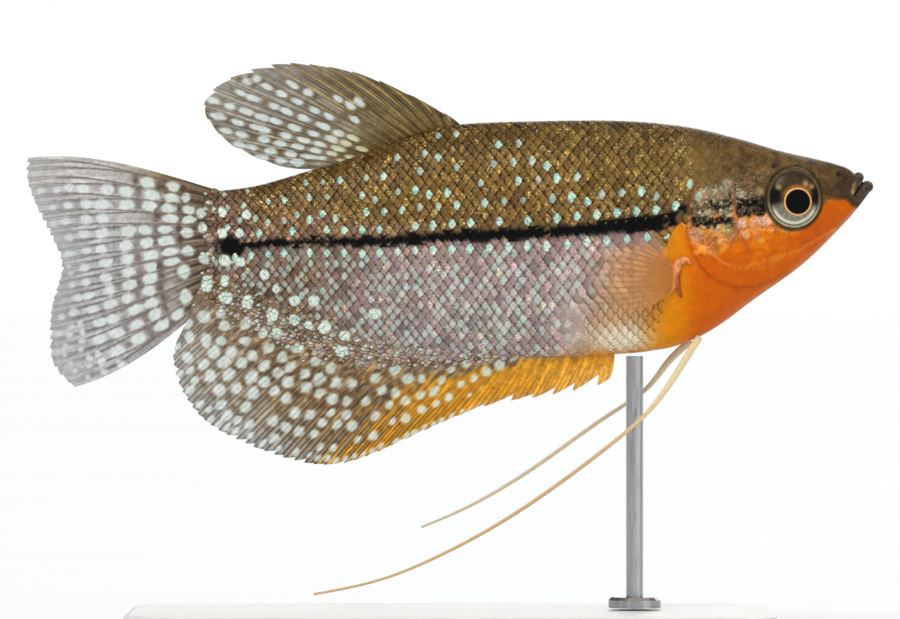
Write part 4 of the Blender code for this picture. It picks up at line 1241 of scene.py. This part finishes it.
def make_sheath(fin, name, reach, shades, seed):
    """Small scales that carry the body's coat on over the base of a fin, on both its faces."""
    rng = np.random.default_rng(seed)
    u, v, depth, centre = sheath_places(fin, reach, rng)
    count = len(u)
    x, y, z = (column[:, None] for column in centre.T)
    ahead = fin.at(u, np.minimum(v + 0.03, 1)) - fin.at(u, v)
    ahead = ahead[:, ::2] / np.linalg.norm(ahead[:, ::2], axis=1, keepdims=True)
    rear = ahead + [(-0.9, 0.25)]
    rear /= np.linalg.norm(rear, axis=1, keepdims=True)
    _, back, up, rise = scale_outline(np.ones(SCALE_RING), 0.06, 0.05, 0.0, -0.1)
    outward = depth / np.maximum(reach(to_pixels(centre[:, 0], 0)[0]), 0.3)
    small = (rng.uniform(0.85, 1.1, count) * mix(1.0, 0.6, smooth(0.25, 1.0, outward)))[:, None]
    shift_x = (rear[:, :1] * back * 0.62 - rear[:, 1:] * up * 0.42) * small
    shift_z = (rear[:, 1:] * back * 0.62 + rear[:, :1] * up * 0.42) * small
    half = fin.at(u, v, fin.half)[:, None]
    tint = body_colour(centre[:, 0], BELLY(centre[:, 0]) + 2.5)
    tint = blend(tint, pick(shades, rng.random(count)), mix(0.45, 0.95, smooth(0.1, 0.6, outward)))
    tint = tint * rng.uniform(0.85, 1.12, count)[:, None]
    dots = (rng.random(count) < 0.3) * rng.uniform(0.3, 0.8, count)
    spot = np.minimum(big_pearls(x + shift_x, z + shift_z) / 2, 1).ravel()
    for word, side in SIDES.items():
        out = side * (half + rise[None] + 0.025 * (back[None] + 1)) + y
        points = np.stack([x + shift_x, out, z + shift_z], -1)
        obj = build(f"{name}_{word}", points.reshape(-1, 3), scale_faces(count, side))
        turn_outward(obj)
        # Spark gives some of these scales painted glints.
        paint(obj, np.repeat(tint, SCALE_POINTS, axis=0), Back=np.tile(back, count), Up=np.tile(up, count),
              Pearl=np.repeat(dots, SCALE_POINTS), Line=np.full(count * SCALE_POINTS, 0.5),
              Spark=np.repeat(rng.uniform(0, 0.5, count), SCALE_POINTS), Spot=spot)
        write_bake(obj, centre[:, 0], 0.5 - side * (0.004 + 0.001 * depth), back, up)
        finish_piece(obj, bpy.data.materials["scales_wet"], "skin")


def fin_root(line, x):
    """The root of a fin along the back or the belly."""
    return np.stack([x, 0 * x, line], -1)


def make_dorsal(material):
    def root(u):
        x = mix(*DORSAL_ROOT, u)
        return fin_root(BACK(x) - SUNK, x)

    fin = Fin("dorsal_fin_rays", 16, 14, 110, root, DORSAL_TIP, (0.8, -0.5),
              lambda u, v: 0.9 * v * v * np.sin(2.4 * u), teeth=0.6, front_teeth=1.1, steps=1, spines=1.0)
    px, py = to_pixels(fin.x, fin.z)
    rear = smooth(430, 260, px - 0.4 * (py - 110))
    groove = smooth(0.3, 0.5, np.abs(fin.across)) * smooth(0.6, 0.35, fin.u)
    membrane = layered(
        shaded([112, 96, 62], [174, 172, 160], rear),
        ([136, 126, 124], 0.45 * smooth(0.5, 0.75, grain(fin.u * 9, fin.v * 5, 1.0, 12)) * rear),
        ([92, 68, 26], 0.85 * smooth(0.3, 0.02, fin.v)),
        ([62, 44, 18], 0.75 * groove * smooth(1.0, 0.75, fin.v)),
        ([164, 136, 78], 0.8 * fin.spine))
    line = shaded([62, 44, 16], [106, 90, 72], smooth(0.2, 0.95, fin.v) * rear)
    core = shaded([186, 156, 86], [184, 166, 126], fin.v)
    spots = []
    for spot in fin.bands(np.arange(2.2, 26, 2.3), (0.95, 0.52), 3, 3.0):
        x, _, z = fin.at(np.array(spot[0]), np.array(spot[1]))
        mark_x, mark_y = to_pixels(x, z)
        if mark_y > 76 + 0.19 * (mark_x - 250) and mark_x < 362:
            spots.append(spot)
    away, patches = fin.cover(spots, 13)
    pearl = shaded([206, 204, 160], [206, 217, 213], smooth(0.05, 0.4, fin.v))
    colour = dressed(fin, membrane, line, core, away, patches, pearl, ([96, 76, 52], 0.75))
    fin.make(colour, 1.0, material, "dorsal_fin")


def make_anal(material):
    def root(u):
        x = mix(*ANAL_ROOT, u)
        return fin_root(BELLY(x) + SUNK, x)

    def fillet(x, z):
        below = np.clip(BELLY(x) - z, 0, 9)
        return 0.36 * np.exp(-((below / 2.0) ** 2)) * smooth(14, 0, x) * smooth(-31.2, -29.5, x)

    fin = Fin("anal_fin_rays", 48, 8, 120, root, ANAL_TIP, (-0.2, 0.35),
              lambda u, v: 0.7 * v * v * np.sin(7.0 * u - 1.0), teeth=0.5, front_teeth=1.2, steps=1, broad=0.25,
              fillet=fillet, twigs=0.25)
    px, py = to_pixels(fin.x, fin.z)
    inside = (1 - fin.v) * fin.length
    amber = smooth(300, 470, px + 90 * (fin.v - 0.6)) * smooth(0.1, 0.4, fin.v)
    amber = np.maximum(amber, smooth(470, 560, px))
    amber = smooth(0.2, 0.8, amber + 0.7 * (fin.streaks - 0.5) * smooth(560, 480, px))
    golden = smooth(0.42, 0.62, grain(px / 14, py / 14, 1.0, 52))
    beaded = fin.beads * (1 - amber) * smooth(0.95, 0.5, fin.v)
    between = (1 - fin.beads) * (1 - amber) * smooth(0.85, 0.4, fin.v) * smooth(0.0, 0.2, fin.v)
    membrane = layered(
        shaded([140, 125, 98], [182, 180, 172], smooth(340, 225, px) * smooth(0.15, 0.55, fin.v)),
        ([112, 88, 60], mix(0.25, 0.75, smooth(200, 290, px)) * smooth(0.8, 0.35, fin.v)),
        ([178, 134, 62], 0.5 * golden * smooth(240, 330, px) * smooth(0.95, 0.6, fin.v)),
        ([164, 168, 168], 0.85 * smooth(4.5, 1.2, inside) * smooth(345, 270, px)),
        ([184, 166, 140], 0.7 * beaded),
        ([74, 56, 38], 0.5 * between),
        ([210, 142, 26], amber),
        ([240, 170, 50], 0.35 * amber * fin.beads),
        ([232, 170, 66], smooth(500, 590, px) * smooth(0.2, 0.6, fin.v)),
        ([214, 172, 110], 0.7 * smooth(1.6, 0.3, inside) * amber),
        (body_colour(fin.x, BELLY(fin.x) + 1.0), smooth(0.25, 0.05, fin.v)))
    line = layered(
        shaded([70, 52, 36], [108, 96, 84], smooth(300, 215, px) * smooth(0.3, 0.8, fin.v)),
        ([112, 70, 14], amber),
        ([192, 126, 30], 0.85 * smooth(420, 540, px)))
    core = shaded([196, 160, 100], [236, 178, 70], amber)
    spots = fin.rows_inside([0.75], 1.3, (0.72, 0.44), 7, [], 1.05)
    spots = fin.rows_inside([2.35], 1.6, (0.8, 0.54), 9, spots, 1.35)
    spots = fin.rows_inside(np.arange(4.2, 24, 2.05), 2.0, (0.84, 0.72), 8, spots, 1.62)
    away, patches = fin.cover(spots, 23)
    away = away + 3 * smooth(500, 545, px) + 1.2 * smooth(430, 520, px) * smooth(0.35, 0.6, fin.v)
    pearl = shaded([198, 212, 198], [216, 226, 222], smooth(0.2, 0.6, fin.v))
    halo = [84, 62, 38], 0.7 * smooth(1.4, 3.0, inside) * (1 - 0.6 * amber)
    colour = dressed(fin, membrane, line, core, away, patches, pearl, halo)
    light = smooth(0.5, 0.95, np.cos(fin.across * math.tau * 3)) * (1 - smooth(1.1, 0.8, away))
    fin.make(blend(colour, core, 0.3 * light), 1.0, material, "anal_fin")
    reach = Line((200, 5.6), (260, 7.0), (340, 6.0), (400, 4.6), (450, 3.2), (520, 1.6), (560, 0.1))
    make_sheath(fin, "scales_anal", reach, [[170, 152, 134], [178, 158, 126], [146, 124, 100], [186, 190, 178],
                                            [130, 108, 86], [170, 154, 158]], 5)


def make_caudal(material):
    def root(u):
        x = np.full(u.shape, TAIL_END_X + SUNK)
        return fin_root(mix(*CAUDAL_ROOT, u), x)

    def fillet(x, z):
        behind = np.exp(-((np.clip(TAIL_END_X - x, 0, 9) / 1.5) ** 2))
        return 0.7 * behind * smooth(1.0, 0.7, np.abs(z - 0.4) / 6.2) * smooth(TAIL_END_X + 0.8, TAIL_END_X - 0.2, x)

    fin = Fin("caudal_fin_rays", 14, 18, 130, root, CAUDAL_TIP, (1.3, -1.25),
              lambda u, v: 1.3 * v * v * np.sin(2.6 * v + 1.2 * u), fillet=fillet, twigs=0.7, fork_at=(0.35, 0.8))
    rear = smooth(0.25, 0.8, fin.v)
    near_root = smooth(0.34, 0.12, fin.v)
    membrane = layered(
        shaded([160, 154, 149], [180, 181, 182], rear),
        ([194, 190, 186], smooth(0.35, 0.1, fin.u) * smooth(0.3, 0.7, fin.v)),
        ([134, 106, 60], 0.85 * smooth(0.6, 0.1, fin.v) * smooth(0.16, 0.02, fin.u)),
        ([104, 84, 60], 0.85 * smooth(0.26, 0.06, fin.v)),
        ([58, 42, 30], 0.7 * near_root * smooth(0.2, 0.42, np.abs(fin.across))),
        ([196, 178, 150], 0.6 * near_root * smooth(0.22, 0.05, np.abs(fin.across)) * fin.beads))
    line = shaded([70, 52, 36], [112, 104, 98], smooth(0.15, 0.7, fin.v))
    line = blend(line, [132, 130, 128], 0.6 * smooth(0.75, 1, fin.v))
    core = shaded([150, 122, 84], [172, 150, 138], smooth(0.1, 0.4, fin.v))
    spots = fin.bands((3.3, 6.2, 9.1, 12.0, 14.8, 17.2, 19.4, 21.4, 23.2), (0.96, 0.72), 21, 2.3)
    spots = [(u, v, long * mix(1.15, 0.66, smooth(0.6, 0.95, v)), wide * mix(1.12, 0.72, smooth(0.6, 0.95, v)))
             for u, v, long, wide in spots if u > 0.03 + 0.09 * v]
    away, patches = fin.cover(spots, 33)
    pearl = shaded([210, 221, 214], [214, 219, 217], rear)
    halo = [76, 58, 44], 0.9 * smooth(0.75, 0.3, fin.v)
    colour = dressed(fin, membrane, line, core, away, patches, pearl, halo)
    fin.make(blend(colour, [180, 182, 181], 0.45 * smooth(0.75, 1.0, fin.v)), 1.0, material, "caudal_fin")
    make_sheath(fin, "scales_caudal", Line((160, 2.2), (215, 2.2)),
                [[138, 116, 102], [116, 94, 80], [164, 146, 130], [188, 178, 164], [108, 86, 68]], 6)


PECTORAL_BAR = Path((0, 689, 264), (0.15, 685.5, 260.5), (0.3, 680, 261), (0.5, 676, 267), (0.7, 675, 277),
                    (0.85, 676.5, 288), (1, 680, 297))
BAR_SIDES = 18


def make_pectoral(material, word, side):
    def root(u):
        z = mix(*PECTORAL_ROOT, u)
        x = np.full(u.shape, PECTORAL_X) - 1.1 * (2 * u - 1) ** 2 + 0.6
        return np.stack([x, side * (half_width_at(x, z) + 0.1), z], -1)

    def splay(u, v):
        return side * (PECTORAL_SPLAY * v - 0.9 * v * v + 0.25 * v)

    fin = Fin(f"pectoral_fin_{word}_rays", 13, 11, 70, root, PECTORAL_TIP, (0.6, -0.8), splay, teeth=0.2,
              membrane=(0.12, 0.04), ridge=(0.14, 0.05), forks=0.3, twigs=0.3)
    flesh = smooth(0.1, 0.04, fin.v)
    colour = blend(shaded([232, 156, 76], [216, 164, 116], smooth(0.1, 0.6, fin.v)), [172, 106, 56], 0.8 * fin.strand)
    cover = mix(0.3, 0.8, fin.strand) * mix(1.0, 0.1, smooth(0.3, 1.0, fin.v))
    fin.make(blend(colour, [214, 138, 64], flesh), np.maximum(cover, flesh), material, f"pectoral_fin_{word}")

    # The fleshy bar at the fin's root
    share = np.linspace(0, 1, 40)
    x, z = from_pixels(PECTORAL_BAR(share).T)[0]
    centres = np.stack([x, side * (half_width_at(x, z) + 0.08), z], 1)
    thick = 0.58 * np.sin(math.pi * mix(0.06, 0.94, share)) ** 0.7
    points, faces = tube(centres, thick, thick, BAR_SIDES)
    obj = build(f"pectoral_root_{word}", points, faces)
    turn_outward(obj)
    around = np.tile(np.arange(BAR_SIDES), len(share))
    # Painted light on the bar: lighter on one side of the tube as a painted highlight, darker on the other as a painted
    # shadow.
    colour = shaded([232, 152, 96], [160, 76, 30], 0.5 + 0.5 * np.cos(around * math.tau / BAR_SIDES))
    colour = colour * mix(0.8, 1.15, grain(points[:, 0], points[:, 2], 0.35, 51))[:, None]
    paint(obj, colour, Cover=np.ones(len(colour)))
    finish_piece(obj, material, "fin")


def make_fins():
    material = fin_material()
    make_dorsal(material)
    make_anal(material)
    make_caudal(material)
    for word, side in SIDES.items():
        make_pectoral(material, word, side)


# Eyes
# Painted highlights on the upper iris, as places in pixels and their colours.
EYE_GLINTS = (((777, 188), [200, 176, 104]), ((804, 184), [214, 176, 96]), ((810, 187), [222, 150, 70]))
EYE_END = 1.06


def eye_point(share, turn):
    """A place on the eye, in side view, by its share of the reach and its turn."""
    return EYE[0] + EYE_REACH[0] * share * np.cos(turn), EYE[1] + EYE_REACH[1] * share * np.sin(turn)


def eye_mesh():
    """Points and faces of the left eyeball: its front, its rim and the well behind it."""
    turns = np.arange(120) * math.tau / 120
    out = np.concatenate([np.linspace(0, 0.86, 50), np.linspace(0.875, EYE_END, 22)])
    share, turn = np.meshgrid(out, turns, indexing="ij")
    x, z = eye_point(share, turn)
    to_pupil = np.hypot(x - PUPIL[0], z - PUPIL[1])
    front = eye_surface(x, z) + 0.3 * np.sqrt(np.clip(1 - (to_pupil / 1.66) ** 2, 0, 1))
    front = front + 0.07 * np.exp(-(((to_pupil - 1.7) / 0.12) ** 2)) - 0.1 * smooth(0.84, 0.9, share)
    crest = eye_surface(*eye_point(0.96, turn)) + 0.16
    front = mix(front, crest, smooth(0.885, 0.95, share))
    y = front - 0.55 * smooth(0.965, EYE_END, share)
    deep = np.linspace(1.0, 0.0, 8)[1:, None]
    well_x, well_z = eye_point(EYE_END * deep, turns)
    well = np.stack([well_x, y[-1] - 1.3 * (1 - deep**2), well_z], -1)
    face = np.concatenate([np.stack([x, y, z], -1), well])
    rows, columns = face.shape[:2]
    index = np.arange(rows * columns).reshape(rows, columns)
    following = np.roll(index, -1, axis=1)
    faces = np.stack([index[:-1], following[:-1], following[1:], index[1:]], -1).reshape(-1, 4)
    return face.reshape(-1, 3), faces


def eye_colour(x, z):
    away = eye_share(x, z)
    to_pupil = np.hypot(x - PUPIL[0], z - PUPIL[1])
    angle = np.arctan2(z - EYE[1], x - EYE[0])
    height = np.sin(angle)
    low = smooth(-0.05, -0.75, height)
    patch = smooth(0.5, 0.24, np.abs(height - 0.12)) * smooth(0.5, 0.62, away)
    patch = np.maximum(patch, smooth(0.42, 0.2, np.abs(height - 0.1)) * smooth(0.42, 0.6, away))
    colour = layered(
        shaded([82, 62, 38], [140, 140, 122], low),
        ([66, 54, 42], smooth(0.35, 0.8, height) * smooth(0.62, 0.8, away)),
        ([12, 12, 13], 0.96 * patch),
        ([196, 124, 52], 0.75 * smooth(2.5, 1.9, to_pupil) * smooth(-0.1, 0.5, height)))
    # Painted glossy highlights on the iris.
    for at, shade in EYE_GLINTS:
        glint_x, glint_z = from_pixels(at)[0]
        colour = blend(colour, shade, 0.7 * smooth(0.55, 0.15, np.hypot(x - glint_x, z - glint_z)))
    colour = colour * mix(0.76, 1.02, grain(angle * 6, to_pupil, 0.5, 61))[:, None]
    pale = shaded([106, 92, 60], [192, 186, 150], smooth(0.1, -0.7, height))
    pale = pale * mix(0.85, 1.15, grain(angle * 5, away * 3, 0.6, 62))[:, None]
    return layered(
        colour,
        ([230, 226, 208], 0.8 * smooth(-0.25, -0.65, height) * smooth(0.72, 0.8, away)),
        ([96, 96, 88], 0.5 * smooth(0.12, 0.02, np.abs(x - PUPIL[0])) * low * smooth(2.6, 2.2, to_pupil)),
        ([66, 54, 32], smooth(0.85, 0.885, away)),
        (pale, 0.8 * smooth(0.07, 0.012, np.abs(away - 0.934))),
        ([70, 56, 34], smooth(0.97, 1.0, away)),
        ([234, 158, 84], smooth(1.86, 1.78, to_pupil)),
        ([250, 206, 140], 0.7 * smooth(0.07, 0.02, np.abs(to_pupil - 1.7))),
        ([3, 3, 4], smooth(1.64, 1.57, to_pupil)))


def make_eyes():
    material = eye_material()
    points, faces = eye_mesh()
    for word, side in SIDES.items():
        obj = build(f"eyeball_{word}", points * (1, side, 1), faces)
        turn_outward(obj, weld=1e-7)
        obj.data.shade_smooth()
        x, _, z = read_points(obj).T
        paint(obj, eye_colour(x, z))
        finish_piece(obj, material, "eye", f"eye_{word}")


# Feelers, as in the part's source
FEELERS = {
    "right": Path((0, 32.0, -1.5, -13.2), (0.06, 30.4, -2.3, -15.7), (0.14, 28.4, -3.0, -18.8),
                  (0.22, 26.0, -3.6, -21.9), (0.31, 22.9, -4.2, -24.8), (0.5, 13.6, -5.2, -31.9),
                  (0.64, 6.5, -5.8, -36.6), (0.78, -1.3, -6.2, -40.8), (0.9, -9.6, -6.4, -44.1),
                  (1, -17.6, -6.4, -45.8)),
    "left": Path((0, 31.0, 1.5, -13.4), (0.1, 28.5, 2.6, -15.8), (0.22, 25.8, 3.5, -19.2), (0.36, 20.6, 4.2, -22.9),
                 (0.56, 12.0, 4.9, -29.0), (0.8, 2.6, 5.4, -34.7), (1, -3.8, 5.6, -37.5)),
}
FEELER_SIDES = 16


def make_feelers():
    material = feeler_material()
    for word, path in FEELERS.items():
        share = np.linspace(0, 1, 130)
        centres = path(share)
        root = centres[0] + (centres[0] - centres[2]) * 0.9
        centres = np.concatenate([[root], centres])
        share = np.concatenate([[0], share])
        thread = mix(0.5, 0.25, smooth(0.02, 0.32, share)) * mix(1.0, 0.62, smooth(0.5, 1.0, share))
        obj = build(f"feeler_{word}", *tube(centres, thread * 0.6, thread, FEELER_SIDES))
        along = np.repeat(share, FEELER_SIDES)
        colour = blend(np.array([226.0, 206, 158]), [204, 168, 118], smooth(0.1, 0.45, along))
        if word == "left":
            colour = blend(colour, [206, 196, 172], 0.6)
        paint(obj, colour)
        finish_piece(obj, material, "feeler", *(f"feeler_{word}_{number}" for number in (1, 2, 3)))


def make_stand():
    for name, material in (("stand_base", stand_material()), ("stand_rod", steel_material())):
        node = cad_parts[name]
        node.data.materials.clear()
        node.data.materials.append(material)


# Floor, light and camera
SUNS = (("key", (-0.45, -1.0, 0.85), 0.5, 1.5), ("fill", (0.9, -0.8, 0.25), 0.9, 0.6),
        ("top", (0.1, 0.1, 1.0), 0.9, 0.5), ("back", (0.2, 1.0, 0.5), 0.7, 0.9))
AMBIENT = 0.45
MIRRORED = 0.12


def make_floor():
    bpy.ops.mesh.primitive_plane_add(size=90.0, location=(0, 0, 0))
    floor = bpy.context.object
    floor.name = "floor"
    made = Nodes("floor_pale", Roughness=0.9, Specular_IOR_Level=0.1)
    made.link(made.ramp(made.noise(3.0), (0.3, 0.92), (0.7, 0.94)), "Base Color")
    floor.data.materials.append(made.material)


def make_world():
    """A white backdrop for the camera, a dimmer one for light, and a dim grey one for reflections."""
    world = bpy.data.worlds.new("studio")
    bpy.context.scene.world = world
    world.use_nodes = True
    tree = world.node_tree
    tree.nodes.clear()

    def backdrop(strength, *colour):
        node = tree.nodes.new("ShaderNodeBackground")
        node.inputs["Strength"].default_value = strength
        node.inputs["Color"].default_value = (*colour, 1)
        return node.outputs[0]

    def chosen(share, first, second):
        node = tree.nodes.new("ShaderNodeMixShader")
        for number, source in enumerate((share, first, second)):
            tree.links.new(source, node.inputs[number])
        return node.outputs[0]

    rays = tree.nodes.new("ShaderNodeLightPath").outputs
    unseen = chosen(rays["Is Glossy Ray"], backdrop(AMBIENT, 0.97, 0.985, 1), backdrop(MIRRORED, 0.8, 0.8, 0.8))
    output = tree.nodes.new("ShaderNodeOutputWorld")
    tree.links.new(chosen(rays["Is Camera Ray"], unseen, backdrop(1.0, 1, 1, 1)), output.inputs["Surface"])


def make_lights():
    for name, towards, angle, strength in SUNS:
        data = bpy.data.lights.new(name, "SUN")
        data.angle = angle
        data.energy = strength
        light = new_object(name, data)
        light.rotation_mode = "QUATERNION"
        light.rotation_quaternion = (-Vector(towards)).to_track_quat("-Z", "Y")


def make_camera():
    data = bpy.data.cameras.new("camera")
    data.lens = 300.0
    data.sensor_width = 36.0
    data.clip_start = 0.01
    data.clip_end = 50.0
    camera = new_object("camera", data)
    distance = FRAME_WIDTH * PIXEL * data.lens / data.sensor_width
    height = AXIS_HEIGHT + (PIXEL_Y - FRAME_HEIGHT / 2) * PIXEL
    camera.location = (0, -distance * MM, height * MM)
    camera.rotation_euler = (math.pi / 2, 0, 0)
    bpy.context.scene.camera = camera
    bpy.context.scene.view_settings.view_transform = "Standard"


make_skin()
make_scales()
make_fins()
make_eyes()
make_feelers()
make_stand()
make_floor()
make_world()
make_lights()
make_camera()
